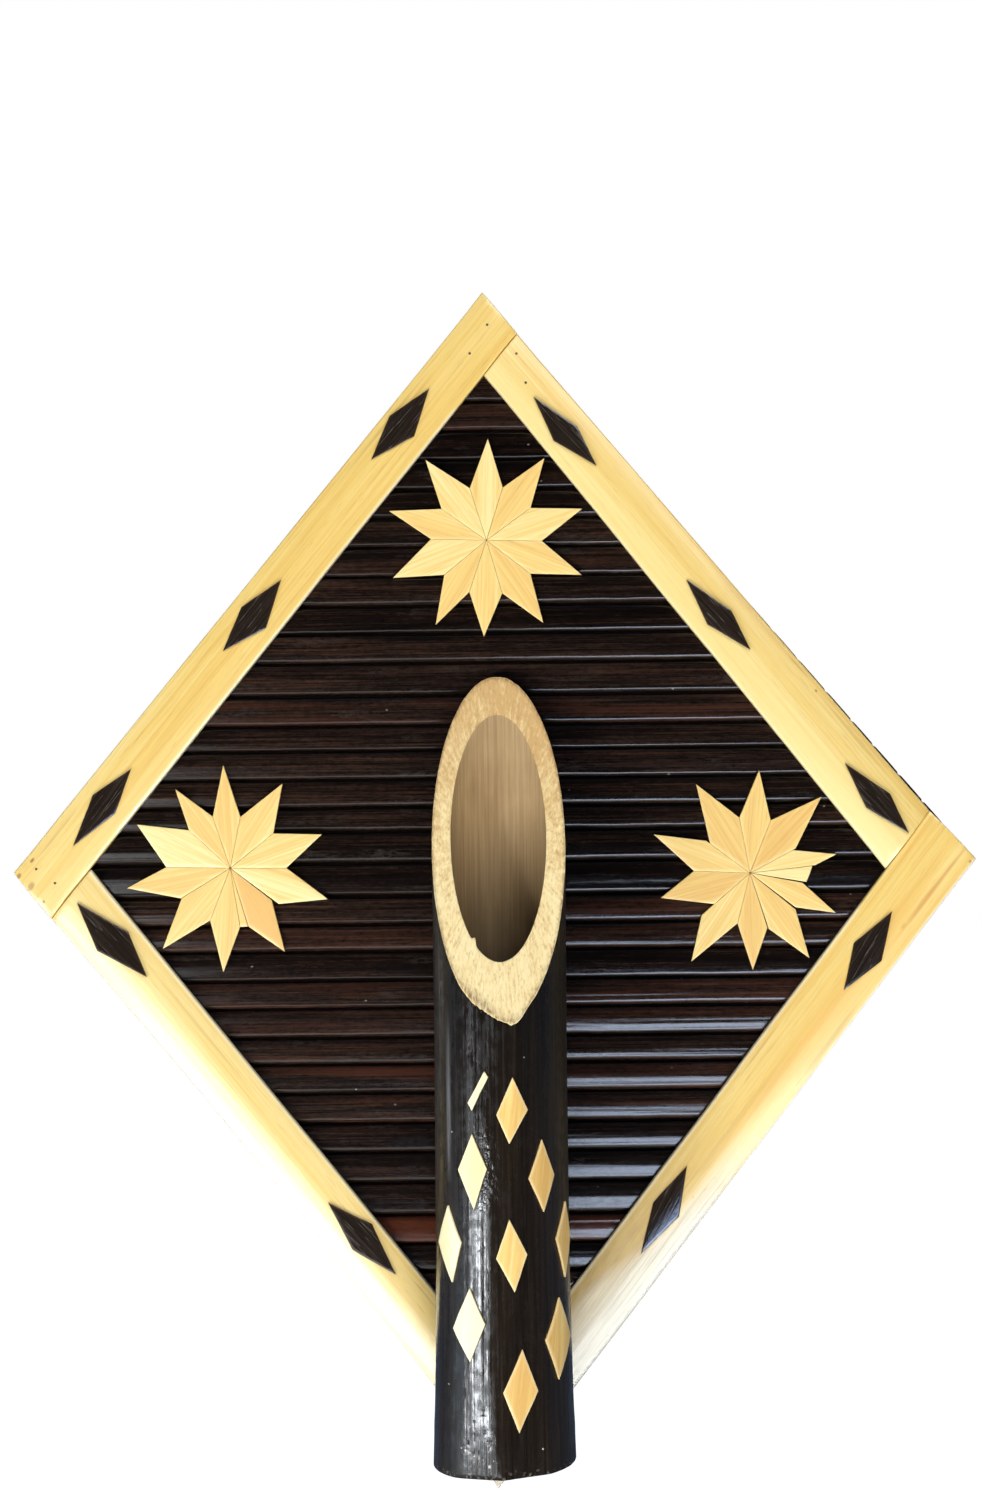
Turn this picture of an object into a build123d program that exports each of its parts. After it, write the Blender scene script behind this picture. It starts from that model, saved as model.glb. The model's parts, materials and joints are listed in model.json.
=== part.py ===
"""Wall-hung bamboo vase: an obliquely cut bamboo tube on a diamond panel of dark slats.

Millimetres, +Z up, the panel's front faces -Y, +X to the right seen from the front.
The origin is where the wall nail bears under the hanging ring, in the plane of the wall.
Depth is counted from the wall plane towards the front, so depth d is y = -d.
"""

import math
import os

from build123d import *

os.makedirs("parts", exist_ok=True)

# ---------------------------------------------------------------- depths from the wall
batten_t = 9.0  # battens stand the board off the wall
board_t = 4.0
slat_t = 4.5
rail_crown = 5.5  # rail thickness at its crown
star_t = 1.8

board_back = batten_t
board_front = board_back + board_t
slat_front = board_front + slat_t

# ---------------------------------------------------------------- panel
# corners of the slatted panel in x, z: left, top, right, bottom
panel = [(-201.4, -169.3), (-5.0, 74.2), (206.7, -166.5), (6.9, -429.7)]
# seams between the slats, from the top down
seam_z = [
    68.3, 55.9, 43.4, 30.9, 18.5, 6.0, -6.5, -19.0, -31.4, -43.9, -56.4, -68.8, -81.3,
    -95.1, -108.0, -118.7, -131.2, -143.2, -153.5, -167.3, -181.5, -193.5, -205.1,
    -217.6, -229.6, -242.1, -253.7, -266.2, -279.1, -291.6, -304.9, -318.7, -331.1,
    -343.2, -355.6, -368.1, -380.6, -393.1, -405.5, -418.0,
]
slat_lift, slat_slope = -1.05, 0.0116  # the slats rise a little to the right
slat_gap = 1.0
slat_round = 1.5

# ---------------------------------------------------------------- frame rails
rail_radius = 46.0  # radius of the split culm that the rails keep on their face
rail_seam = 0.2
rails = {
    "rail_upper_left": [(-205.5, -172.6), (-189.4, -192.3), (10.3, 58.6), (-4.7, 76.2)],
    "rail_upper_right": [(-3.8, 40.6), (10.4, 58.4), (187.2, -145.8), (168.4, -170.8)],
    "rail_lower_left": [
        (-189.3, -192.5), (-172.5, -171.4), (4.9, -389.0), (-11.3, -410.7),
        (-26.2, -391.6), (-82.8, -318.8), (-122.8, -269.7),
    ],
    "rail_lower_right": [(187.3, -146.0), (207.3, -166.7), (2.4, -436.9), (-11.2, -410.9)],
}
# each rail's crown line, from end to end
crown_line = {
    "rail_upper_left": ((-197.5, -182.5), (2.8, 67.4)),
    "rail_upper_right": ((3.2, 49.7), (177.9, -158.5)),
    "rail_lower_left": ((-181.0, -181.8), (-3.1, -400.0)),
    "rail_lower_right": ((197.3, -156.4), (-4.4, -423.9)),
}
lozenge_t = 1.0
lozenge_glue = 0.03
# dark lozenges on the rails: rail, corners
rail_lozenges = [
    ("rail_upper_left", [(-90.7, -47.3), (-97.1, -67.8), (-115.5, -77.7), (-107.8, -58.8)]),
    ("rail_upper_left", [(-154.8, -128.1), (-161.7, -147.4), (-179.6, -161.1), (-171.3, -139.2)]),
    ("rail_upper_left", [(-27.3, 34.6), (-33.7, 14.1), (-52.1, 4.2), (-44.4, 23.1)]),
    ("rail_upper_right", [(150.5, -125.6), (169.8, -138.6), (177.9, -155.5), (159.5, -144.8)]),
    ("rail_upper_right", [(82.7, -47.1), (102.0, -60.2), (110.1, -77.1), (91.7, -66.4)]),
    ("rail_upper_right", [(17.3, 31.1), (36.1, 18.5), (44.3, 1.6), (25.9, 12.3)]),
    ("rail_lower_left", [(-177.9, -185.4), (-156.1, -197.8), (-148.0, -217.1), (-169.4, -206.0)]),
    ("rail_lower_left", [(-70.6, -313.5), (-51.7, -323.1), (-41.5, -344.5), (-60.1, -333.8)]),
    ("rail_lower_right", [(170.6, -189.1), (166.4, -210.2), (150.1, -222.6), (154.4, -202.5)]),
    ("rail_lower_right", [(83.0, -297.9), (79.5, -319.7), (63.3, -335.5), (68.4, -313.7)]),
]
# brads: rail, x, z. Most are under a lozenge or near a rail's hidden end
brad_r = 0.6
brad_hole_r = 0.65
brads = [
    ("rail_upper_left", -195.5, -171.0), ("rail_upper_left", -187.5, -177.0),
    ("rail_upper_left", -103.0, -62.5), ("rail_upper_left", -167.0, -148.3),
    ("rail_upper_left", -39.0, 12.5), ("rail_upper_left", -2.5, 62.0),
    ("rail_upper_left", -10.0, 49.7),
    ("rail_upper_right", 164.5, -137.5), ("rail_upper_right", 96.8, -62.5),
    ("rail_upper_right", 31.0, 12.5), ("rail_upper_right", 10.0, 49.7),
    ("rail_upper_right", 14.0, 37.2),
    ("rail_lower_left", -162.0, -199.3), ("rail_lower_left", -55.5, -325.0),
    ("rail_lower_left", -10.0, -399.3), ("rail_lower_left", -18.0, -386.8),
    ("rail_lower_right", 160.5, -211.3), ("rail_lower_right", 73.5, -325.0),
    ("rail_lower_right", 4.0, -411.8), ("rail_lower_right", 14.0, -399.3),
]
brad_stop = board_back + 0.6  # the points stop inside the board

# ---------------------------------------------------------------- stars
petal_gap = 0.06
# petals as side point, tip, side point about the star's centre
star_left_at = (-112.8, -170.7)
star_left_petals = [
    [(-7.6, 22.1), (-3.1, 44.3), (4.3, 22.0)],
    [(4.3, 22.0), (22.4, 36.4), (18.5, 14.9)],
    [(18.5, 14.9), (39.4, 14.5), (24.1, 0.0)],
    [(24.1, 0.0), (42.0, -13.4), (20.8, -15.5)],
    [(17.8, -13.9), (23.5, -36.1), (7.8, -25.2)],
    [(4.2, -25.3), (-3.0, -44.9), (-8.7, -22.6)],
    [(-8.7, -22.6), (-29.2, -34.9), (-20.9, -12.9)],
    [(-21.3, -13.1), (-44.6, -8.7), (-27.6, 0.4)],
    [(-27.6, 0.4), (-40.2, 18.7), (-17.8, 16.3)],
    [(-17.8, 16.3), (-23.8, 34.0), (-7.6, 22.1)],
]
star_left_filler = [(7.7, -25.2), (4.3, -25.3)]  # small wedge that closes a wide notch
star_right_at = (110.4, -172.8)
star_right_petals = [
    [(-4.6, 23.8), (3.9, 44.3), (8.9, 22.6)],
    [(8.9, 22.6), (30.7, 32.8), (19.6, 10.5)],
    [(18.4, 9.85), (37.3, 8.1), (28.0, 3.3)],
    [(22.6, -4.2), (37.0, -17.2), (19.6, -14.8)],
    [(19.6, -15.7), (25.6, -36.7), (8.1, -24.1)],
    [(7.5, -23.5), (1.2, -41.8), (-5.4, -21.7)],
    [(-5.4, -21.7), (-25.3, -38.2), (-20.8, -18.1)],
    [(-15.4, -13.4), (-38.5, -10.8), (-24.1, 0.8)],
    [(-24.1, 0.8), (-41.5, 16.6), (-18.7, 13.8)],
    [(-17.2, 12.7), (-23.2, 38.2), (-4.6, 23.8)],
]
star_right_sliver = [(26.8, 3.0), (25.6, -0.6), (24.2, -3.9)]  # petal broken short
star_top_at = (-2.8, -29.9)
star_top_petals = [
    [(-7.2, 22.4), (0.6, 43.8), (7.0, 22.7)],
    [(7.0, 22.7), (25.0, 35.4), (19.0, 13.9)],
    [(19.0, 13.9), (41.2, 13.6), (23.8, -0.3)],
    [(23.8, -0.3), (41.0, -14.9), (18.9, -14.4)],
    [(18.9, -14.4), (24.5, -35.6), (6.8, -22.8)],
    [(6.8, -22.8), (-1.1, -41.6), (-7.4, -22.3)],
    [(-7.4, -22.3), (-21.9, -36.5), (-18.2, -14.9)],
    [(-18.2, -14.9), (-40.3, -16.2), (-23.9, 0.5)],
    [(-23.9, 0.5), (-41.9, 12.6), (-19.4, 13.5)],
    [(-19.4, 13.5), (-26.3, 34.6), (-7.2, 22.4)],
]

# ---------------------------------------------------------------- vase tube
tube_foot_x, tube_foot_z = 5.0, -416.5
tube_lean = -0.0107  # sideways lean per unit of height
tube_flat = 0.0  # how far the seat plane lies inside a radius of 28: only the swelling at the foot and top is planed
tube_seat = slat_front + rail_crown  # the lower rails' crowns carry the foot, a packing block the top
# outside radius against height above the foot: it swells towards the node at the bottom
tube_profile = [(-3.0, 30.1), (0.0, 30.0), (28.0, 29.1), (85.0, 28.1), (180.0, 27.8), (345.0, 28.4)]
tube_axis_depth = tube_seat + 28.0 - tube_flat
bore_r = 20.0
bore_back = 1.7  # the hollow lies slightly towards the back
node_low, node_high = 12.0, 20.0  # the node's diaphragm
mouth_back_z, mouth_front_z = 327.9, 185.6  # oblique cut: outer edge at the back, at the front
# flattened sides of the culm that meet in a ridge at the front: angle (0 is straight ahead), distance
# from the axis at the foot, change of distance with height
facets = [(-22.0, 28.2, -0.003), (18.0, 27.9, 0.004)]
foot_tilt = 0.04  # the foot is sawn a little higher on the right
chip_glue, chip_t = 0.04, 0.8
# pale lozenges on the tube: corners as angle from straight ahead and height above the foot
tube_chips = [
    [(-14.4, 166.0), (-11.0, 163.6), (-25.7, 149.8), (-29.3, 152.9)],
    [(9.3, 163.6), (22.1, 150.2), (6.1, 136.4), (-4.6, 148.4)],
    [(-25.8, 140.2), (-12.7, 126.3), (-24.5, 109.6), (-39.1, 125.4)],
    [(35.2, 137.4), (48.6, 122.4), (36.3, 107.9), (22.2, 122.0)],
    [(-51.7, 110.1), (-36.5, 95.7), (-47.0, 78.8), (-67.9, 94.2)],
    [(5.4, 106.0), (20.5, 91.4), (9.3, 76.2), (-5.8, 90.1)],
    [(65.9, 110.1), (77.5, 95.2), (63.2, 79.1), (50.1, 95.9)],
    [(-29.2, 77.3), (-15.3, 63.2), (-29.0, 47.5), (-45.7, 60.3)],
    [(52.7, 71.8), (71.2, 54.4), (49.9, 38.6), (36.1, 55.5)],
    [(15.2, 53.0), (28.4, 35.6), (11.8, 19.0), (-1.1, 35.7)],
]
# screws from the back into the tube's wall
screw_z = [-137.2, -374.4]
screw_r, screw_hole_r = 1.7, 1.75
screw_head_r, screw_head_h = 3.4, 2.2
screw_tip = tube_seat + 5.4
packing_w, packing_h = 16.0, 30.0
washer_r, washer_hole_r, washer_t = 5.0, 1.85, 0.8

# ---------------------------------------------------------------- battens and hanger
batten_w = 22.0
batten_x = (-80.0, 80.0)
batten_z = (-308.0, -48.0)
ring_wire_r = 1.1
ring_axis_z = -18.0
ring_half_w = 8.1
ring_shoulder = 11.0
ring_corner = 2.5
strap_eye_r, strap_r = 1.4, 2.2
strap_w, strap_leaf = 10.0, 1.6
strap_end_z = -32.0
hanger_screw_z = -25.2
hanger_screw_r, hanger_screw_hole_r = 1.4, 1.45
hanger_head_r, hanger_head_h = 2.9, 1.9
hanger_screw_tip = 15.2
ring_axis_depth = board_back - strap_r


def clipped(points, keep):
    """The part of a convex polygon where keep(point) is not negative."""
    out = []
    for (a, b) in zip(points, points[1:] + points[:1]):
        ka, kb = keep(a), keep(b)
        if ka >= 0:
            out.append(a)
        if ka * kb < 0:
            t = ka / (ka - kb)
            out.append((a[0] + t * (b[0] - a[0]), a[1] + t * (b[1] - a[1])))
    return out


def inset(points, gap):
    """A convex polygon moved in by gap on every side."""
    area = sum(a[0] * b[1] - b[0] * a[1] for a, b in zip(points, points[1:] + points[:1]))
    if area < 0:
        points = points[::-1]
    lines = []
    for a, b in zip(points, points[1:] + points[:1]):
        dx, dy = b[0] - a[0], b[1] - a[1]
        length = math.hypot(dx, dy)
        nx, ny = -dy / length, dx / length
        lines.append((nx, ny, nx * a[0] + ny * a[1] + gap))
    out = []
    for (a1, b1, c1), (a2, b2, c2) in zip(lines[-1:] + lines[:-1], lines):
        det = a1 * b2 - a2 * b1
        out.append(((c1 * b2 - c2 * b1) / det, (a1 * c2 - a2 * c1) / det))
    return out


def depth_plane(d):
    """Front-facing plane at a depth from the wall; its sketch axes are X and Z."""
    return Plane.XZ.offset(d)


def across_rail(name):
    """Plane square to a rail at its middle, with its local y towards the front."""
    (x0, z0), (x1, z1) = crown_line[name]
    length = math.hypot(x1 - x0, z1 - z0)
    a, b = (x1 - x0) / length, (z1 - z0) / length
    return Plane(
        origin=((x0 + x1) / 2, -slat_front, (z0 + z1) / 2), x_dir=(-b, 0, a), z_dir=(a, 0, b)
    )


def crown_depth(name, x, z):
    """Depth of a rail's face at a point."""
    (x0, z0), (x1, z1) = crown_line[name]
    length = math.hypot(x1 - x0, z1 - z0)
    off = ((x - x0) * -(z1 - z0) + (z - z0) * (x1 - x0)) / length
    return slat_front + rail_crown - rail_radius + math.sqrt(rail_radius**2 - off**2)


# ================================================================ back board
with BuildPart() as back_board:
    with BuildSketch(depth_plane(board_back)):
        Polygon(*panel, align=None)
    extrude(amount=board_t)
    # brads end in the board, screws pass through it
    with BuildSketch(depth_plane(board_front)):
        for rail, x, z in brads:
            with Locations((x, z)):
                Circle(brad_hole_r)
    extrude(amount=-(board_front - brad_stop), mode=Mode.SUBTRACT)
    with BuildSketch(depth_plane(board_back)):
        for z in screw_z:
            with Locations((tube_foot_x + tube_lean * (z - tube_foot_z), z)):
                Circle(screw_hole_r)
        with Locations((0, hanger_screw_z)):
            Circle(hanger_screw_hole_r)
    extrude(amount=board_t, mode=Mode.SUBTRACT)
back_board.part.label = "back_board"
export_step(back_board.part, "parts/back_board.step")

# ================================================================ battens
for side, x in zip(("left", "right"), batten_x):
    with BuildPart() as batten:
        with BuildSketch(depth_plane(0)):
            with Locations((x, sum(batten_z) / 2)):
                Rectangle(batten_w, batten_z[1] - batten_z[0])
        extrude(amount=batten_t)
        chamfer(batten.faces().sort_by(Axis.Y)[-1].edges(), length=1.0)
    batten.part.label = f"batten_{side}"
    export_step(batten.part, f"parts/batten_{side}.step")

# ================================================================ slats
def slat_level(x, z):
    """Height of a point measured from the slats' own slope."""
    return z - slat_lift - slat_slope * x


slat_way = Axis((0, 0, 0), (1, 0, slat_slope))
seams = [seam_z[0] - slat_lift] + seam_z[1:-1] + [seam_z[-1] - slat_lift]  # the panel's tips stay where they are
for number, (top, low) in enumerate(zip(seams, seams[1:]), start=1):
    high, low = top - slat_gap / 2, low + slat_gap / 2
    outline = clipped(panel, lambda p: high - slat_level(*p))
    outline = clipped(outline, lambda p: slat_level(*p) - low)
    with BuildPart() as slat:
        with BuildSketch(depth_plane(board_front)):
            Polygon(*outline, align=None)
        extrude(amount=slat_t)
        # rounded long edges on the face
        fillet(slat.faces().sort_by(Axis.Y)[0].edges().filter_by(slat_way), radius=slat_round)
        holes = [(x, z, brad_hole_r) for rail, x, z in brads]
        holes += [(tube_foot_x + tube_lean * (z - tube_foot_z), z, screw_hole_r) for z in screw_z]
        holes = [h for h in holes if low - h[2] < slat_level(h[0], h[1]) < high + h[2]]
        if holes:
            with BuildSketch(depth_plane(board_front)):
                for x, z, r in holes:
                    with Locations((x, z)):
                        Circle(r)
            extrude(amount=slat_t, mode=Mode.SUBTRACT)
        if low < slat_level(0, hanger_screw_z) < high:
            with BuildSketch(depth_plane(board_front)):
                with Locations((0, hanger_screw_z)):
                    Circle(hanger_screw_hole_r)
            extrude(amount=hanger_screw_tip - board_front + 0.2, mode=Mode.SUBTRACT)
    slat.part.label = f"slat_{number:02d}"
    export_step(slat.part, f"parts/slat_{number:02d}.step")

# ================================================================ rails
for name, outline in rails.items():
    with BuildPart() as rail:
        with BuildSketch(depth_plane(slat_front)):
            Polygon(*outline, align=None)
        extrude(amount=rail_crown + 0.5)
        with BuildSketch(across_rail(name)):
            with Locations((0, rail_crown - rail_radius)):
                Circle(rail_radius)
        extrude(amount=220, both=True, mode=Mode.INTERSECT)
        with BuildSketch(depth_plane(slat_front)):
            for owner, x, z in brads:
                if owner == name:
                    with Locations((x, z)):
                        Circle(brad_hole_r)
        extrude(amount=rail_crown + 1, mode=Mode.SUBTRACT)
    rail.part.label = name
    export_step(rail.part, f"parts/{name}.step")

# ================================================================ dark lozenges on the rails
lozenges = []
for name, corners in rail_lozenges:
    with BuildPart() as lozenge:
        with BuildSketch(depth_plane(slat_front)):
            Polygon(*corners, align=None)
        extrude(amount=rail_crown + 3)
        with BuildSketch(across_rail(name)):
            with Locations((0, rail_crown - rail_radius)):
                Circle(rail_radius + lozenge_glue + lozenge_t)
        extrude(amount=220, both=True, mode=Mode.INTERSECT)
        with BuildSketch(across_rail(name)):
            with Locations((0, rail_crown - rail_radius)):
                Circle(rail_radius + lozenge_glue)
        extrude(amount=220, both=True, mode=Mode.SUBTRACT)
    lozenges.append(lozenge.part)
with BuildPart() as rail_diamonds:
    for piece in lozenges:
        add(piece)
rail_diamonds.part.label = "rail_diamonds"
export_step(rail_diamonds.part, "parts/rail_diamonds.step")

# ================================================================ brads
pins = []
for name, x, z in brads:
    with BuildPart() as pin:
        with BuildSketch(depth_plane(brad_stop + 0.2)):
            with Locations((x, z)):
                Circle(brad_r)
        extrude(amount=crown_depth(name, x, z) - 0.1 - (brad_stop + 0.2))
        chamfer(pin.faces().sort_by(Axis.Y)[-1].edges(), length=0.4)
    pins.append(pin.part)
with BuildPart() as rail_brads:
    for piece in pins:
        add(piece)
rail_brads.part.label = "rail_brads"
export_step(rail_brads.part, "parts/rail_brads.step")

# ================================================================ stars
stars = {
    "star_left": (star_left_at, [[(0, 0), *p] for p in star_left_petals] + [[(0, 0), *star_left_filler]]),
    "star_right": (star_right_at, [[(0, 0), *p] for p in star_right_petals] + [[(0, 0), *star_right_sliver]]),
    "star_top": (star_top_at, [[(0, 0), *p] for p in star_top_petals]),
}
for name, (centre, petals) in stars.items():
    with BuildPart() as star:
        with BuildSketch(depth_plane(slat_front)):
            for petal in petals:
                points = [(centre[0] + x, centre[1] + z) for x, z in inset(petal, petal_gap)]
                Polygon(*points, align=None)
        extrude(amount=star_t)
    star.part.label = name
    export_step(star.part, f"parts/{name}.step")

# ================================================================ vase tube
tube_dir = (tube_lean, 0, 1)
tube_plane = Plane(
    origin=(tube_foot_x, -tube_axis_depth, tube_foot_z), x_dir=(1, 0, -tube_lean), z_dir=tube_dir
)
tube_axis = Axis((tube_foot_x, -tube_axis_depth, tube_foot_z), tube_dir)


def on_tube(plane):
    """A plane given in the tube's own frame: z up its axis, y towards the wall."""
    return Plane(tube_plane.location * plane.location)


def culm(out):
    """Solid outside form of the culm, grown by out, with its flat groove side."""
    with BuildPart() as form:
        with BuildSketch(on_tube(Plane.XZ)):
            with BuildLine():
                Polyline(
                    (0, tube_profile[0][0]),
                    *[(r + out, z) for z, r in tube_profile],
                    (0, tube_profile[-1][0]),
                    close=True,
                )
            make_face()
        revolve(axis=tube_axis)
        for degrees, foot, slope in facets:
            angle = math.radians(degrees)
            n = (math.sin(angle), -math.cos(angle))
            d = foot + out
            split(
                bisect_by=on_tube(Plane(origin=(n[0] * d, n[1] * d, 0), z_dir=(n[0], n[1], -slope))),
                keep=Keep.BOTTOM,
            )
    return form.part


mouth_y = (28.0 - tube_flat, -27.9)
mouth_rise = (mouth_back_z - mouth_front_z) / (mouth_y[0] - mouth_y[1])
mouth_plane = on_tube(
    Plane(origin=(0, mouth_y[0], mouth_back_z), x_dir=(1, 0, 0), z_dir=(0, -mouth_rise, 1))
)
with BuildPart() as vase_tube:
    add(culm(0.0))
    # hollow above the node, open recess below it
    with BuildSketch(on_tube(Plane.XY.offset(node_high))):
        with Locations((0, bore_back)):
            Circle(bore_r)
    extrude(amount=360, mode=Mode.SUBTRACT)
    with BuildSketch(on_tube(Plane.XY.offset(-4))):
        with Locations((0, bore_back)):
            Circle(bore_r)
    extrude(amount=node_low + 4, mode=Mode.SUBTRACT)
    # foot
    split(bisect_by=on_tube(Plane(origin=(0, 0, 0), z_dir=(-foot_tilt, 0, 1))), keep=Keep.TOP)
    # oblique mouth
    split(bisect_by=mouth_plane, keep=Keep.BOTTOM)
    # flat seat on the back
    split(bisect_by=depth_plane(tube_seat), keep=Keep.TOP)
    # screw holes in the back wall
    with BuildSketch(depth_plane(tube_seat)):
        for z in screw_z:
            with Locations((tube_foot_x + tube_lean * (z - tube_foot_z), z)):
                Circle(screw_hole_r)
    extrude(amount=screw_tip - tube_seat + 0.1, mode=Mode.SUBTRACT)
vase_tube.part.label = "vase_tube"
export_step(vase_tube.part, "parts/vase_tube.step")

# ================================================================ pale lozenges on the tube
inner_form, outer_form = culm(chip_glue), culm(chip_glue + chip_t)
chips = []
for corners in tube_chips:
    middle = math.radians((corners[1][0] + corners[3][0]) / 2)
    outward = (math.sin(middle), -math.cos(middle), 0)
    face = on_tube(Plane(origin=(0, 0, 0), x_dir=(math.cos(middle), math.sin(middle), 0), z_dir=outward))
    points = [(28.2 * math.sin(math.radians(a) - middle), h) for a, h in corners]
    with BuildPart() as chip:
        with BuildSketch(face.offset(20)):
            Polygon(*points, align=None)
        extrude(amount=14)
        add(outer_form, mode=Mode.INTERSECT)
        add(inner_form, mode=Mode.SUBTRACT)
    chips.append(chip.part)
with BuildPart() as tube_diamonds:
    for piece in chips:
        add(piece)
tube_diamonds.part.label = "tube_diamonds"
export_step(tube_diamonds.part, "parts/tube_diamonds.step")

# ================================================================ packing block behind the tube
with BuildPart() as tube_packing:
    with BuildSketch(depth_plane(slat_front)):
        with Locations((tube_foot_x + tube_lean * (screw_z[0] - tube_foot_z), screw_z[0])):
            Rectangle(packing_w, packing_h)
            Circle(screw_hole_r, mode=Mode.SUBTRACT)
    extrude(amount=rail_crown)
    chamfer(tube_packing.edges().filter_by(Axis.Y).filter_by(GeomType.LINE), length=1.5)
tube_packing.part.label = "tube_packing"
export_step(tube_packing.part, "parts/tube_packing.step")

# ================================================================ tube screws and washers
with BuildPart() as tube_screw_washers:
    with BuildSketch(depth_plane(board_back - washer_t)):
        for z in screw_z:
            with Locations((tube_foot_x + tube_lean * (z - tube_foot_z), z)):
                Circle(washer_r)
                Circle(washer_hole_r, mode=Mode.SUBTRACT)
    extrude(amount=washer_t)
tube_screw_washers.part.label = "tube_screw_washers"
export_step(tube_screw_washers.part, "parts/tube_screw_washers.step")

seat = board_back - washer_t
with BuildPart() as tube_screws:
    for z in screw_z:
        x = tube_foot_x + tube_lean * (z - tube_foot_z)
        with BuildSketch(depth_plane(seat - screw_head_h)):
            with Locations((x, z)):
                Circle(screw_head_r)
        extrude(amount=screw_head_h)
        with BuildSketch(depth_plane(seat)):
            with Locations((x, z)):
                Circle(screw_r)
        extrude(amount=screw_tip - seat)
    fillet(tube_screws.edges().group_by(Axis.Y)[-1], radius=1.2)
    chamfer(tube_screws.edges().group_by(Axis.Y)[0], length=1.2)
    # cross recess in each head
    with BuildSketch(depth_plane(seat - screw_head_h)):
        for z in screw_z:
            with Locations((tube_foot_x + tube_lean * (z - tube_foot_z), z)):
                Rectangle(3.2, 0.8)
                Rectangle(0.8, 3.2)
    extrude(amount=1.1, mode=Mode.SUBTRACT)
tube_screws.part.label = "tube_screws"
export_step(tube_screws.part, "parts/tube_screws.step")

# ================================================================ hanger
side_plane = Plane.YZ.offset(-strap_w / 2)  # sketch axes are Y and Z
with BuildPart() as hanger_strap:
    with BuildSketch(side_plane):
        with Locations((-ring_axis_depth, ring_axis_z)):
            Circle(strap_r)
        with Locations((-(board_back - strap_leaf / 2), (strap_end_z + ring_axis_z) / 2)):
            Rectangle(strap_leaf, ring_axis_z - strap_end_z)
        with Locations((-ring_axis_depth, ring_axis_z)):
            Circle(strap_eye_r, mode=Mode.SUBTRACT)
    extrude(amount=strap_w)
    # rounded lower corners of the leaf
    fillet(hanger_strap.edges().filter_by(Axis.Y).group_by(Axis.Z)[0], radius=3.0)
    with BuildSketch(depth_plane(board_back - strap_leaf)):
        with Locations((0, hanger_screw_z)):
            Circle(hanger_screw_hole_r)
    extrude(amount=strap_leaf, mode=Mode.SUBTRACT)
hanger_strap.part.label = "hanger_strap"
export_step(hanger_strap.part, "parts/hanger_strap.step")

with BuildPart() as hanger_screw:
    head_at = board_back - strap_leaf
    with BuildSketch(depth_plane(head_at - hanger_head_h)):
        with Locations((0, hanger_screw_z)):
            Circle(hanger_head_r)
    extrude(amount=hanger_head_h)
    with BuildSketch(depth_plane(head_at)):
        with Locations((0, hanger_screw_z)):
            Circle(hanger_screw_r)
    extrude(amount=hanger_screw_tip - head_at)
    fillet(hanger_screw.edges().group_by(Axis.Y)[-1], radius=1.0)
    chamfer(hanger_screw.edges().group_by(Axis.Y)[0], length=1.0)
    with BuildSketch(depth_plane(head_at - hanger_head_h)):
        with Locations((0, hanger_screw_z)):
            Rectangle(2.8, 0.7)
            Rectangle(0.7, 2.8)
    extrude(amount=0.9, mode=Mode.SUBTRACT)
hanger_screw.part.label = "hanger_screw"
export_step(hanger_screw.part, "parts/hanger_screw.step")

# D-ring: its straight side turns in the strap's eye
ring_plane = Plane(origin=(0, -ring_axis_depth, ring_axis_z), x_dir=(1, 0, 0), z_dir=(0, -1, 0))
bar = ring_half_w - ring_corner
with BuildPart() as hanger_ring:
    with BuildLine(ring_plane) as ring_path:
        Line((0, 0), (bar, 0))
        RadiusArc((bar, 0), (ring_half_w, ring_corner), -ring_corner)
        Line((ring_half_w, ring_corner), (ring_half_w, ring_shoulder))
        ThreePointArc(
            (ring_half_w, ring_shoulder), (0, ring_shoulder + ring_half_w), (-ring_half_w, ring_shoulder)
        )
        Line((-ring_half_w, ring_shoulder), (-ring_half_w, ring_corner))
        RadiusArc((-ring_half_w, ring_corner), (-bar, 0), -ring_corner)
        Line((-bar, 0), (0, 0))
    with BuildSketch(Plane(origin=ring_path.wire() @ 0, z_dir=ring_path.wire() % 0)):
        Circle(ring_wire_r)
    sweep(path=ring_path.wire())
hanger_ring.part.label = "hanger_ring"
export_step(hanger_ring.part, "parts/hanger_ring.step")
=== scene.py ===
"""Looks of the wall-hung bamboo vase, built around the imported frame.

Lengths in the tables are millimetres: x to the right, z up, depth from the wall towards the front.
"""

import json
import math

import bmesh
import bpy
import numpy as np
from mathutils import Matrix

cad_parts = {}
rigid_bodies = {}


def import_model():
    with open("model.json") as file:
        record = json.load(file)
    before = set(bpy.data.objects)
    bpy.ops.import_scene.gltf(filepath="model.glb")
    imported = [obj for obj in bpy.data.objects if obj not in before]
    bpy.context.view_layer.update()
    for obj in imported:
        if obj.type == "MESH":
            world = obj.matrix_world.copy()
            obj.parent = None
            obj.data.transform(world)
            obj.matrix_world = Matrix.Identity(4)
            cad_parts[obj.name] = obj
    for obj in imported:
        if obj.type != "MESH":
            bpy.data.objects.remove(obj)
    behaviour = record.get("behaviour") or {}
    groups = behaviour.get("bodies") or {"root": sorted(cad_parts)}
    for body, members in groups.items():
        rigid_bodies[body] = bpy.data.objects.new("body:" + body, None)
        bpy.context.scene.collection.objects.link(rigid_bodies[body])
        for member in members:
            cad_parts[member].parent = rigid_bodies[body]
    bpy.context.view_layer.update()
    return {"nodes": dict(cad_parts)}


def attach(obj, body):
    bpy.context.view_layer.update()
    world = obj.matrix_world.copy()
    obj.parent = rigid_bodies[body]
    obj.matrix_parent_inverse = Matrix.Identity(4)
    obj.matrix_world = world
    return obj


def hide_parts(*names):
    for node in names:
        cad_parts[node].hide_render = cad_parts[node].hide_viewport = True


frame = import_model()
MM = 0.001

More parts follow.
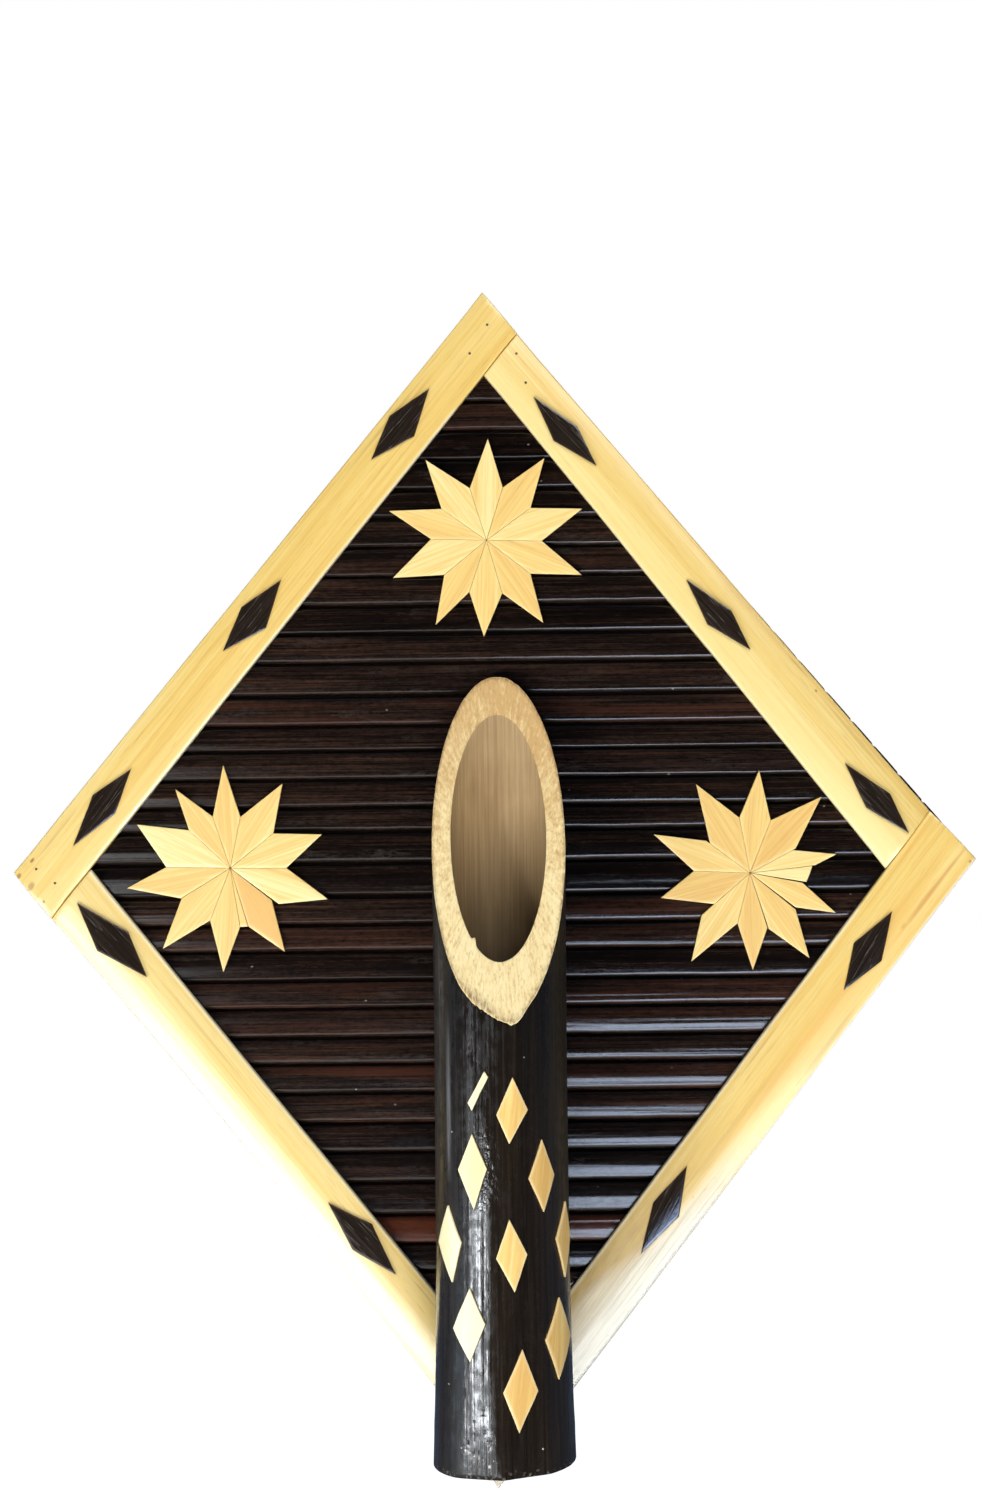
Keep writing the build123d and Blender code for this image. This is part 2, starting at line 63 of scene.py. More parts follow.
# ---------------------------------------------------------------- the object's numbers
board_back, board_front, slat_front = 9.0, 13.0, 17.5
rail_crown, rail_radius = 5.5, 46.0
star_t = 1.8
lozenge_glue, lozenge_t = 0.03, 1.0
chip_glue, chip_t = 0.04, 0.8
panel = [(-201.4, -169.3), (-5.0, 74.2), (206.7, -166.5), (6.9, -429.7)]
seam_z = [
    68.3, 55.9, 43.4, 30.9, 18.5, 6.0, -6.5, -19.0, -31.4, -43.9, -56.4, -68.8, -81.3,
    -95.1, -108.0, -118.7, -131.2, -143.2, -153.5, -167.3, -181.5, -193.5, -205.1,
    -217.6, -229.6, -242.1, -253.7, -266.2, -279.1, -291.6, -304.9, -318.7, -331.1,
    -343.2, -355.6, -368.1, -380.6, -393.1, -405.5, -418.0,
]
slat_lift, slat_slope = -1.05, 0.0116  # the slats rise a little to the right
slat_gap = 1.0
# slats that stand out: reddish ones near 1, black ones near 0
slat_tones = {23: 0.10, 24: 0.86, 25: 0.72, 26: 0.66, 27: 0.88, 28: 0.80, 29: 0.22, 30: 0.16, 31: 0.26, 32: 1.3}
# rails: outer edge, inner edge (both run the same way), crown line
rails = {
    "rail_upper_left": (
        [(-205.5, -172.6), (-4.7, 76.2)], [(-189.4, -192.3), (10.3, 58.6)],
        ((-197.5, -182.5), (2.8, 67.4)),
    ),
    "rail_upper_right": (
        [(10.4, 58.4), (187.2, -145.8)], [(-3.8, 40.6), (168.4, -170.8)],
        ((3.2, 49.7), (177.9, -158.5)),
    ),
    "rail_lower_left": (
        [(-189.3, -192.5), (-122.8, -269.7), (-82.8, -318.8), (-26.2, -391.6), (-11.3, -410.7)],
        [(-172.5, -171.4), (4.9, -389.0)],
        ((-181.0, -181.8), (-3.1, -400.0)),
    ),
    "rail_lower_right": (
        [(207.3, -166.7), (2.4, -436.9)], [(187.3, -146.0), (-11.2, -410.9)],
        ((197.3, -156.4), (-4.4, -423.9)),
    ),
}
rail_lozenges = [
    ("rail_upper_left", [(-90.7, -47.3), (-97.1, -67.8), (-115.5, -77.7), (-107.8, -58.8)]),
    ("rail_upper_left", [(-154.8, -128.1), (-161.7, -147.4), (-179.6, -161.1), (-171.3, -139.2)]),
    ("rail_upper_left", [(-27.3, 34.6), (-33.7, 14.1), (-52.1, 4.2), (-44.4, 23.1)]),
    ("rail_upper_right", [(150.5, -125.6), (169.8, -138.6), (177.9, -155.5), (159.5, -144.8)]),
    ("rail_upper_right", [(82.7, -47.1), (102.0, -60.2), (110.1, -77.1), (91.7, -66.4)]),
    ("rail_upper_right", [(17.3, 31.1), (36.1, 18.5), (44.3, 1.6), (25.9, 12.3)]),
    ("rail_lower_left", [(-177.9, -185.4), (-156.1, -197.8), (-148.0, -217.1), (-169.4, -206.0)]),
    ("rail_lower_left", [(-70.6, -313.5), (-51.7, -323.1), (-41.5, -344.5), (-60.1, -333.8)]),
    ("rail_lower_right", [(170.6, -189.1), (166.4, -210.2), (150.1, -222.6), (154.4, -202.5)]),
    ("rail_lower_right", [(83.0, -297.9), (79.5, -319.7), (63.3, -335.5), (68.4, -313.7)]),
]
brads = [
    ("rail_upper_left", -195.5, -171.0), ("rail_upper_left", -187.5, -177.0),
    ("rail_upper_left", -103.0, -62.5), ("rail_upper_left", -167.0, -148.3),
    ("rail_upper_left", -39.0, 12.5), ("rail_upper_left", -2.5, 62.0),
    ("rail_upper_left", -10.0, 49.7),
    ("rail_upper_right", 164.5, -137.5), ("rail_upper_right", 96.8, -62.5),
    ("rail_upper_right", 31.0, 12.5), ("rail_upper_right", 10.0, 49.7),
    ("rail_upper_right", 14.0, 37.2),
    ("rail_lower_left", -162.0, -199.3), ("rail_lower_left", -55.5, -325.0),
    ("rail_lower_left", -10.0, -399.3), ("rail_lower_left", -18.0, -386.8),
    ("rail_lower_right", 160.5, -211.3), ("rail_lower_right", 73.5, -325.0),
    ("rail_lower_right", 4.0, -411.8), ("rail_lower_right", 14.0, -399.3),
]
# stars: centre, petals as side point, tip, side point about the centre, and each petal's tone (0 light, 1 deep)
stars = {
    "star_left": (
        (-112.8, -170.7),
        [
            [(-7.6, 22.1), (-3.1, 44.3), (4.3, 22.0)],
            [(4.3, 22.0), (22.4, 36.4), (18.5, 14.9)],
            [(18.5, 14.9), (39.4, 14.5), (24.1, 0.0)],
            [(24.1, 0.0), (42.0, -13.4), (20.8, -15.5)],
            [(17.8, -13.9), (23.5, -36.1), (7.8, -25.2)],
            [(4.2, -25.3), (-3.0, -44.9), (-8.7, -22.6)],
            [(-8.7, -22.6), (-29.2, -34.9), (-20.9, -12.9)],
            [(-21.3, -13.1), (-44.6, -8.7), (-27.6, 0.4)],
            [(-27.6, 0.4), (-40.2, 18.7), (-17.8, 16.3)],
            [(-17.8, 16.3), (-23.8, 34.0), (-7.6, 22.1)],
            [(7.7, -25.2), (4.3, -25.3)],
        ],
        [0.64, 0.58, 0.46, 0.40, 1.45, 0.62, 0.70, 0.64, 0.14, 0.56, 0.62],
    ),
    "star_right": (
        (110.4, -172.8),
        [
            [(-4.6, 23.8), (3.9, 44.3), (8.9, 22.6)],
            [(8.9, 22.6), (30.7, 32.8), (19.6, 10.5)],
            [(18.4, 9.85), (37.3, 8.1), (28.0, 3.3)],
            [(22.6, -4.2), (37.0, -17.2), (19.6, -14.8)],
            [(19.6, -15.7), (25.6, -36.7), (8.1, -24.1)],
            [(7.5, -23.5), (1.2, -41.8), (-5.4, -21.7)],
            [(-5.4, -21.7), (-25.3, -38.2), (-20.8, -18.1)],
            [(-15.4, -13.4), (-38.5, -10.8), (-24.1, 0.8)],
            [(-24.1, 0.8), (-41.5, 16.6), (-18.7, 13.8)],
            [(-17.2, 12.7), (-23.2, 38.2), (-4.6, 23.8)],
            [(26.8, 3.0), (25.6, -0.6), (24.2, -3.9)],
        ],
        [0.62, 0.74, 0.30, 0.55, 0.56, 0.80, 0.46, 0.76, 0.52, 0.78, 0.20],
    ),
    "star_top": (
        (-2.8, -29.9),
        [
            [(-7.2, 22.4), (0.6, 43.8), (7.0, 22.7)],
            [(7.0, 22.7), (25.0, 35.4), (19.0, 13.9)],
            [(19.0, 13.9), (41.2, 13.6), (23.8, -0.3)],
            [(23.8, -0.3), (41.0, -14.9), (18.9, -14.4)],
            [(18.9, -14.4), (24.5, -35.6), (6.8, -22.8)],
            [(6.8, -22.8), (-1.1, -41.6), (-7.4, -22.3)],
            [(-7.4, -22.3), (-21.9, -36.5), (-18.2, -14.9)],
            [(-18.2, -14.9), (-40.3, -16.2), (-23.9, 0.5)],
            [(-23.9, 0.5), (-41.9, 12.6), (-19.4, 13.5)],
            [(-19.4, 13.5), (-26.3, 34.6), (-7.2, 22.4)],
        ],
        [0.40, 0.66, 0.30, 0.55, 0.78, 0.45, 0.62, 0.25, 0.50, 0.35],
    ),
}
tube_foot = (5.0, 51.0, -416.5)
tube_lean = -0.0107
tube_back = 28.0  # planed flat, from the axis towards the wall
tube_profile = [(-3.0, 30.1), (0.0, 30.0), (28.0, 29.1), (85.0, 28.1), (180.0, 27.8), (345.0, 28.4)]
bore_r, bore_back = 20.0, 1.7
node_low, node_high = 12.0, 20.0
mouth_back_z, mouth_rise, mouth_back_y = 327.9, (327.9 - 185.6) / (28.0 + 27.9), 28.0
# flattened sides of the culm: angle, distance from the axis at the foot, change with height, softness of the border
facets = [(math.radians(-22.0), 28.2, -0.003, 1.5), (math.radians(18.0), 27.9, 0.004, 0.9)]
foot_tilt = 0.04  # the foot is sawn higher on the right
tube_chips = [
    [(-14.4, 166.0), (-11.0, 163.6), (-25.7, 149.8), (-29.3, 152.9)],
    [(9.3, 163.6), (22.1, 150.2), (6.1, 136.4), (-4.6, 148.4)],
    [(-25.8, 140.2), (-12.7, 126.3), (-24.5, 109.6), (-39.1, 125.4)],
    [(35.2, 137.4), (48.6, 122.4), (36.3, 107.9), (22.2, 122.0)],
    [(-51.7, 110.1), (-36.5, 95.7), (-47.0, 78.8), (-67.9, 94.2)],
    [(5.4, 106.0), (20.5, 91.4), (9.3, 76.2), (-5.8, 90.1)],
    [(65.9, 110.1), (77.5, 95.2), (63.2, 79.1), (50.1, 95.9)],
    [(-29.2, 77.3), (-15.3, 63.2), (-29.0, 47.5), (-45.7, 60.3)],
    [(52.7, 71.8), (71.2, 54.4), (49.9, 38.6), (36.1, 55.5)],
    [(15.2, 53.0), (28.4, 35.6), (11.8, 19.0), (-1.1, 35.7)],
]
# flaked specks of the tube's varnish: height, x, y from the axis, radius
culm_flakes = [
    (11.9, -17.8, -23.0, 0.34), (11.0, -16.2, -23.8, 0.62), (10.3, -14.3, -24.6, 0.40), (9.0, -12.6, -25.4, 0.78),
    (8.1, -10.6, -26.2, 0.44), (7.9, -8.9, -26.9, 0.36), (5.4, -6.3, -27.8, 0.70), (7.9, -4.7, -28.2, 0.34),
    (36.8, -22.9, -17.6, 0.42), (11.5, 15.4, -24.0, 0.40), (21.0, -14.2, -24.6, 0.36),
    (146.5, 7.5, -27.2, 0.40), (140.2, -20.5, -19.5, 0.45), (171.5, 9.5, -26.6, 0.38),
]
# chip tones carry painted light and shade: below 0 for the chips on the tube's lit left side, deep for those on the
# right
chip_tones_painted_light = [-0.40, 0.80, -0.10, 0.92, -0.30, 0.50, 0.74, -0.36, 0.84, 0.92]


# ---------------------------------------------------------------- small tools
class Noise:
    """Smooth value noise over a plane, from -1 to 1."""

    def __init__(self, seed):
        self.g = np.random.RandomState(seed).rand(97, 89) * 2 - 1

    def __call__(self, u, v=0.0):
        u, v = np.broadcast_arrays(np.asarray(u, float), np.asarray(v, float))
        iu, iv = np.floor(u).astype(int), np.floor(v).astype(int)
        fu, fv = u - iu, v - iv
        fu, fv = fu * fu * (3 - 2 * fu), fv * fv * (3 - 2 * fv)
        g = self.g
        a, b = g[iu % 97, iv % 89], g[(iu + 1) % 97, iv % 89]
        c, d = g[iu % 97, (iv + 1) % 89], g[(iu + 1) % 97, (iv + 1) % 89]
        return (a * (1 - fu) + b * fu) * (1 - fv) + (c * (1 - fu) + d * fu) * fv


def world(x, depth, z):
    """Millimetres in x, depth and z to metres in the row frame."""
    x, depth, z = np.broadcast_arrays(*(np.asarray(a, float) for a in (x, depth, z)))
    return np.stack([x, -depth, z], -1) * MM


class Piece:
    """One mesh under construction. Each point carries its place along and across the fibre
    (grain) and how much handling has rubbed it (wear); each face carries its finish and tone."""

    def __init__(self):
        self.co, self.grain, self.wear = [], [], []
        self.faces, self.finish, self.tone = [], [], []
        self.n = 0

    def points(self, co, grain, wear=0.0):
        co = np.asarray(co, float).reshape(-1, 3)
        grain = np.broadcast_to(np.asarray(grain, float), (*np.shape(grain)[:-1], 3)).reshape(-1, 3)
        self.co.append(co)
        self.grain.append(grain)
        self.wear.append(np.broadcast_to(np.asarray(wear, float).reshape(-1), (len(co),)))
        first = self.n
        self.n += len(co)
        return np.arange(first, self.n)

    def quads(self, idx, finish=0, tone=0.5, wrap_u=False, wrap_v=False):
        nu, nv = idx.shape
        for i in range(nu if wrap_u else nu - 1):
            for j in range(nv if wrap_v else nv - 1):
                i2, j2 = (i + 1) % nu, (j + 1) % nv
                self.face([idx[i, j], idx[i2, j], idx[i2, j2], idx[i, j2]], finish, tone)

    def grid(self, co, grain, finish=0, tone=0.5, wear=0.0, wrap_u=False, wrap_v=False):
        nu, nv = co.shape[:2]
        w = np.broadcast_to(np.asarray(wear, float), (nu, nv))
        idx = self.points(co, grain, w).reshape(nu, nv)
        self.quads(idx, finish, tone, wrap_u, wrap_v)
        return idx

    def face(self, corners, finish=0, tone=0.5):
        self.faces.append([int(c) for c in corners])
        self.finish.append(finish)
        self.tone.append(tone)

    def make(self, name, materials, nodes, body="vase", sharp=38.0):
        mesh = bpy.data.meshes.new(name)
        co = np.concatenate(self.co)
        mesh.from_pydata(co.tolist(), [], self.faces)
        for key, data in (("grain", np.concatenate(self.grain)),):
            mesh.attributes.new(key, "FLOAT_VECTOR", "POINT").data.foreach_set(
                "vector", data.astype(np.float32).ravel()
            )
        mesh.attributes.new("wear", "FLOAT", "POINT").data.foreach_set(
            "value", np.concatenate(self.wear).astype(np.float32)
        )
        mesh.attributes.new("tone", "FLOAT", "FACE").data.foreach_set(
            "value", np.asarray(self.tone, np.float32)
        )
        mesh.polygons.foreach_set("material_index", np.asarray(self.finish, np.int32))
        b = bmesh.new()
        b.from_mesh(mesh)
        bmesh.ops.remove_doubles(b, verts=b.verts[:], dist=2e-7)
        bmesh.ops.dissolve_degenerate(b, edges=b.edges[:], dist=1e-7)
        bmesh.ops.recalc_face_normals(b, faces=b.faces[:])
        b.to_mesh(mesh)
        b.free()
        mesh.shade_smooth()
        mesh.set_sharp_from_angle(angle=math.radians(sharp))
        for m in materials:
            mesh.materials.append(m)
        obj = bpy.data.objects.new(name, mesh)
        bpy.context.scene.collection.objects.link(obj)
        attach(obj, body)
        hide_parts(*nodes)
        return obj


def inset(points, gap):
    """A polygon moved in by gap on every side, corner for corner."""
    points = [tuple(p) for p in points]
    area = sum(a[0] * b[1] - b[0] * a[1] for a, b in zip(points, points[1:] + points[:1]))
    turn = 1 if area > 0 else -1
    lines = []
    for a, b in zip(points, points[1:] + points[:1]):
        dx, dy = b[0] - a[0], b[1] - a[1]
        length = math.hypot(dx, dy)
        nx, ny = -dy / length * turn, dx / length * turn
        lines.append((nx, ny, nx * a[0] + ny * a[1] + gap))
    out = []
    for (a1, b1, c1), (a2, b2, c2) in zip(lines[-1:] + lines[:-1], lines):
        det = a1 * b2 - a2 * b1
        out.append(((c1 * b2 - c2 * b1) / det, (a1 * c2 - a2 * c1) / det))
    return out


def ring_of(corners, steps):
    """Points round a polygon, steps to a side."""
    c = np.asarray(corners, float)
    out = []
    for a, b in zip(c, np.roll(c, -1, 0)):
        for k in range(steps):
            out.append(a + (b - a) * k / steps)
    return np.array(out)


def plate(piece, corners, place, t, bevel, axis, steps=8, rings=4, tone=0.5, side=0, top=0,
          under=0, lift=None, seed=0, wobble=0.0):
    """A plate of thickness t with eased upper edges: place(u, v, d) puts plan point u, v at
    height d over the plate's seat. axis is the fibre's direction in plan."""
    n = Noise(seed)
    ax = np.asarray(axis, float) / np.hypot(*axis)
    centre = np.mean(np.asarray(corners, float), 0)
    lift = lift or (lambda u, v: 0.0)

    def layer(plan, d, wear, raised):
        u, v = plan[:, 0], plan[:, 1]
        if wobble:
            k = np.arange(len(plan)) * 0.37
            r = plan - centre
            r = r / np.maximum(np.hypot(r[:, 0], r[:, 1]), 1e-6)[:, None]
            shift = wobble * (n(k, 3.1) - 0.6)
            u, v = u + r[:, 0] * shift, v + r[:, 1] * shift
        d = d + (lift(u, v) if raised else 0.0)
        rel = np.stack([u - centre[0], v - centre[1]], -1)
        along, across = rel @ ax, rel @ np.array([-ax[1], ax[0]])
        grain = np.stack([along, across, np.broadcast_to(d, along.shape)], -1)
        return piece.points(place(u, v, d), grain, np.full(len(u), wear))

    outer = ring_of(corners, steps)
    low = layer(outer, 0.0, 0.2, False)
    mid = layer(outer, t - bevel, 0.5, True)
    b1 = layer(ring_of(inset(corners, bevel * 0.3), steps), t - bevel * 0.3, 1.0, True)
    inner = inset(corners, bevel)
    b2 = layer(ring_of(inner, steps), t, 0.6, True)
    stack = np.stack([low, mid])
    piece.quads(stack, side, tone, wrap_v=True)
    piece.quads(np.stack([mid, b1, b2]), top, tone, wrap_v=True)
    last, base = b2, ring_of(inner, steps)
    c2 = np.mean(np.asarray(inner, float), 0)
    for k in range(1, rings):
        s = 1 - k / rings
        plan = c2 + (base - c2) * s
        nxt = layer(plan, t, 0.1, True)
        piece.quads(np.stack([last, nxt]), top, tone, wrap_v=True)
        last = nxt
    mid_point = layer(c2[None, :], t, 0.0, True)[0]
    for a, b in zip(last, np.roll(last, -1)):
        piece.face([a, b, mid_point], top, tone)
    piece.face(low[::-1], under, tone)


# ---------------------------------------------------------------- materials
class Mat:
    """A procedural material under construction."""

    def __init__(self, name):
        self.mat = bpy.data.materials.new(name)
        self.mat.use_nodes = True
        self.t = self.mat.node_tree
        self.t.nodes.clear()
        out = self.t.nodes.new("ShaderNodeOutputMaterial")
        self.bsdf = self.t.nodes.new("ShaderNodeBsdfPrincipled")
        self.t.links.new(self.bsdf.outputs[0], out.inputs[0])

    def put(self, socket, value):
        if isinstance(value, bpy.types.NodeSocket):
            self.t.links.new(value, socket)
        else:
            if isinstance(value, tuple) and len(value) == 3 and socket.type == "RGBA":
                value = (*value, 1.0)
            socket.default_value = value

    def set(self, **values):
        for key, value in values.items():
            self.put(self.bsdf.inputs[key.replace("_", " ")], value)
        return self

    def attr(self, name, out="Fac"):
        node = self.t.nodes.new("ShaderNodeAttribute")
        node.attribute_type = "GEOMETRY"
        node.attribute_name = name
        return node.outputs[out]

    def obj(self):
        node = self.t.nodes.new("ShaderNodeTexCoord")
        return node.outputs["Object"]

    def math(self, op, a, b=0.0, c=0.0, clamp=False):
        node = self.t.nodes.new("ShaderNodeMath")
        node.operation = op
        node.use_clamp = clamp
        self.put(node.inputs[0], a)
        self.put(node.inputs[1], b)
        self.put(node.inputs[2], c)
        return node.outputs[0]

    def vec(self, op, a, b):
        node = self.t.nodes.new("ShaderNodeVectorMath")
        node.operation = op
        self.put(node.inputs[0], a)
        self.put(node.inputs[1], b)
        return node.outputs["Value"] if op in ("DISTANCE", "DOT_PRODUCT", "LENGTH") else node.outputs[0]

    def parts(self, v):
        node = self.t.nodes.new("ShaderNodeSeparateXYZ")
        self.put(node.inputs[0], v)
        return node.outputs[0], node.outputs[1], node.outputs[2]

    def join(self, x, y, z):
        node = self.t.nodes.new("ShaderNodeCombineXYZ")
        for s, v in zip(node.inputs, (x, y, z)):
            self.put(s, v)
        return node.outputs[0]

    def noise(self, v, detail=2.0, rough=0.5, scale=1.0, warp=0.0):
        node = self.t.nodes.new("ShaderNodeTexNoise")
        self.put(node.inputs["Vector"], v)
        node.inputs["Scale"].default_value = scale
        node.inputs["Detail"].default_value = detail
        node.inputs["Roughness"].default_value = rough
        node.inputs["Distortion"].default_value = warp
        return node.outputs[0]

    def cells(self, v, scale=1.0, feature="F1", out="Distance"):
        node = self.t.nodes.new("ShaderNodeTexVoronoi")
        node.feature = feature
        self.put(node.inputs["Vector"], v)
        node.inputs["Scale"].default_value = scale
        return node.outputs[out]

    def span(self, value, lo, hi, a=0.0, b=1.0):
        node = self.t.nodes.new("ShaderNodeMapRange")
        self.put(node.inputs["Value"], value)
        for key, v in (("From Min", lo), ("From Max", hi), ("To Min", a), ("To Max", b)):
            self.put(node.inputs[key], v)
        return node.outputs[0]

    def ramp(self, fac, stops):
        node = self.t.nodes.new("ShaderNodeValToRGB")
        self.put(node.inputs[0], fac)
        e = node.color_ramp.elements
        while len(e) < len(stops):
            e.new(0.5)
        for k, (pos, colour) in zip(e, stops):
            k.position = pos
            k.color = (*colour, 1.0)
        return node.outputs[0]

    def mix(self, fac, a, b, how="MIX"):
        node = self.t.nodes.new("ShaderNodeMix")
        node.data_type = "RGBA"
        node.blend_type = how
        self.put(node.inputs[0], fac)
        self.put(node.inputs[6], a)
        self.put(node.inputs[7], b)
        return node.outputs[2]

    def bump(self, height, distance, strength=1.0):
        node = self.t.nodes.new("ShaderNodeBump")
        node.inputs["Strength"].default_value = strength
        node.inputs["Distance"].default_value = distance
        self.put(node.inputs["Height"], height)
        self.put(self.bsdf.inputs["Normal"], node.outputs[0])
        return node.outputs[0]


def spread(m, v, tone, amount=211.0):
    """Fibre coordinates moved apart piece by piece."""
    k = m.math("MULTIPLY", tone, amount)
    return m.vec("ADD", v, m.join(k, m.math("MULTIPLY", k, 0.37), m.math("MULTIPLY", k, 0.61)))


def pale_bamboo(name, light, mid, deep, rough=0.42, coat=0.12, fibre=1.0, stains=(), weathering_and_painted_light=0.0, rim=0.35):
    """Scraped bamboo. stains are dark marks in fibre coordinates. The rails' extra amount paints shade on the upper
    right rail's outer side and light on the upper left one's, turns the lower right rail olive towards its foot, and
    paints highlights on the lower rails' outer edges, on that foot, on the inner edges and on the upper right rail's
    inner half.
    """
    m = Mat(name)
    tone = m.attr("tone")
    raw = m.attr("grain", "Vector")
    g = spread(m, raw, tone)
    broad = m.noise(m.vec("MULTIPLY", g, (0.006, 0.16, 0.16)), 3, 0.55)
    streak = m.noise(m.vec("MULTIPLY", g, (0.014, 0.95, 0.95)), 5, 0.65)
    hair = m.noise(m.vec("MULTIPLY", g, (0.045, 3.4, 3.4)), 3, 0.6)
    fleck = m.noise(m.vec("MULTIPLY", g, (0.10, 2.3, 2.3)), 1, 0.5)
    f = m.math("MULTIPLY_ADD", m.math("SUBTRACT", broad, 0.5), 0.85, 0.5)
    f = m.math("MULTIPLY_ADD", m.math("SUBTRACT", streak, 0.5), 1.35 * fibre, f)
    f = m.math("MULTIPLY_ADD", m.math("SUBTRACT", tone, 0.5), 0.68, f)
    if weathering_and_painted_light:
        along, across, _ = m.parts(raw)
        # painted shade and light: the upper right rail's outer side is made deeper, the upper left rail's outer side
        # lighter
        outer = m.math("MULTIPLY", m.span(across, 1.0, 13.0, 1.0, 0.0), m.span(along, 740.0, 760.0, 1.0, 0.0))
        f = m.math("MULTIPLY_ADD", outer, m.span(along, 392.0, 400.0, -weathering_and_painted_light, weathering_and_painted_light), f)
    colour = m.ramp(f, [(0.16, light), (0.50, mid), (0.88, deep)])
    if weathering_and_painted_light:
        # the lower right rail turns olive towards its foot
        blot = m.noise(m.vec("MULTIPLY", g, (0.12, 0.35, 0.35)), 4, 0.65)
        olive = m.math("ADD", m.math("MULTIPLY", streak, 0.55), m.math("MULTIPLY", blot, 0.45))
        olive = m.ramp(olive, [(0.34, (0.58, 0.44, 0.21)), (0.50, (0.42, 0.305, 0.135)), (0.66, (0.28, 0.19, 0.075))])
        colour = m.mix(m.span(along, 1350.0, 1455.0, 0.0, 0.85), colour, olive)
    # painted light: pieces with a tone below 0, the chips on the tube's lit left side, are made paler
    colour = m.mix(m.span(tone, -0.4, 0.0, 1.0, 0.0), colour, (0.98, 0.90, 0.56))
    lines = m.span(hair, 0.54, 0.70, 0.0, 0.42 * fibre)
    colour = m.mix(lines, colour, (deep[0] * 0.86, deep[1] * 0.74, deep[2] * 0.72))
    marks = m.span(fleck, 0.68, 0.76, 0.0, 0.45 * fibre)
    colour = m.mix(marks, colour, (deep[0] * 0.62, deep[1] * 0.48, deep[2] * 0.42))
    for lon, acr, half_long, half_wide, amount, *tint in stains:
        rel = m.vec("MULTIPLY", m.vec("SUBTRACT", raw, (lon, acr, 0.0)), (1 / half_long, 1 / half_wide, 0.0))
        near = m.math("MULTIPLY_ADD", m.math("SUBTRACT", streak, 0.5), 0.9, m.vec("LENGTH", rel, (0.0, 0.0, 0.0)))
        colour = m.mix(m.span(near, 0.45, 1.0, amount, 0.0), colour, tint[0] if tint else (0.30, 0.13, 0.035))
    # rubbed edges made lighter, partly as wear and partly as a painted highlight where rounded edges catch the light
    edge_wear_and_highlight = m.math("MULTIPLY", m.attr("wear"), rim)
    colour = m.mix(edge_wear_and_highlight, colour, (1.0, 0.88, 0.56) if rim > 0.5 else tuple(min(1.0, c * 1.08) for c in light))
    if weathering_and_painted_light:
        # painted highlight: the lower rails' outer edges are made pale
        painted_edge_highlight = m.math("MULTIPLY", m.span(across, 0.25, 1.3, 0.85, 0.0), m.span(along, 795.0, 805.0))
        colour = m.mix(painted_edge_highlight, colour, (0.97, 0.92, 0.80))
        # painted highlight: the lower right rail is made pale towards its foot, over more and more of its width, with
        # grey fibres
        edge = m.math("MULTIPLY_ADD", m.math("SUBTRACT", streak, 0.5), 6.0, m.span(along, 1404.0, 1456.0, 10.5, 24.0))
        pale = m.math("MULTIPLY", m.span(m.math("SUBTRACT", across, edge), -4.0, 2.0, 1.0, 0.0), m.span(along, 1345.0, 1395.0, 0.0, 0.88))
        fibres = m.math("MULTIPLY", m.span(hair, 0.46, 0.60, 0.0, 0.75), m.span(streak, 0.35, 0.60, 0.3, 1.0))
        ground = m.mix(m.span(across, 8.0, 18.0), (0.52, 0.43, 0.255), (0.84, 0.76, 0.56))
        ground = m.mix(fibres, ground, m.mix(m.span(across, 8.0, 18.0), (0.22, 0.175, 0.105), (0.50, 0.41, 0.27)))
        ground = m.mix(m.span(across, 1.2, 3.6, 0.8, 0.0), ground, (0.66, 0.63, 0.54))
        colour = m.mix(pale, colour, ground)
        # its middle is deeper between the lozenges
        deeper = m.math("MULTIPLY", m.span(along, 1210.0, 1240.0), m.span(along, 1325.0, 1360.0, 1.0, 0.0))
        deeper = m.math("MULTIPLY", deeper, m.math("MULTIPLY", m.span(across, 3.0, 7.0), m.span(across, 14.0, 20.0, 1.0, 0.0)))
        colour = m.mix(m.math("MULTIPLY", deeper, 0.5), colour, (0.82, 0.50, 0.12))
        # painted highlight: their inner edges are made light too, except where another rail butts on
        painted_arris_highlight = m.math("MULTIPLY", m.attr("wear"), m.span(across, 12.0, 14.0, 0.0, 0.8))
        butt = m.math("ADD", m.span(along, 44.0, 48.0, 1.0, 0.0),
                      m.math("MULTIPLY", m.span(along, 276.0, 280.0), m.span(along, 398.0, 402.0, 1.0, 0.0)))
        butt = m.math("ADD", butt, m.math("MULTIPLY", m.span(along, 1198.0, 1202.0), m.span(along, 1250.0, 1254.0, 1.0, 0.0)))
        painted_arris_highlight = m.math("MULTIPLY", painted_arris_highlight, m.math("SUBTRACT", 1.0, butt))
        # on the upper right rail the inner edges' painted highlight is weaker, and its inner half gets painted light
        upper = m.math("MULTIPLY", m.span(along, 399.0, 401.0), m.span(along, 780.0, 790.0, 1.0, 0.0))
        painted_arris_highlight = m.math("MULTIPLY", painted_arris_highlight, m.math("MULTIPLY_ADD", upper, -0.6, 1.0))
        upper = m.math("MULTIPLY", upper, m.span(along, 560.0, 680.0, 0.40, 0.70))
        colour = m.mix(m.math("MULTIPLY", upper, m.span(across, 12.0, 19.0)), colour, (0.97, 0.86, 0.42))
        colour = m.mix(painted_arris_highlight, colour, (1.0, 0.93, 0.68))
    m.set(Base_Color=colour, Roughness=m.span(streak, 0.3, 0.7, rough - 0.08, rough + 0.12))
    m.set(Coat_Weight=coat, Coat_Roughness=0.17, Specular_IOR_Level=0.45)
    height = m.math("ADD", m.math("MULTIPLY", streak, 0.6), m.math("MULTIPLY", hair, 0.5))
    relief = m.bump(height, 0.00012, 0.5)
    if coat:
        m.put(m.bsdf.inputs["Coat Normal"], relief)
    return m.mat


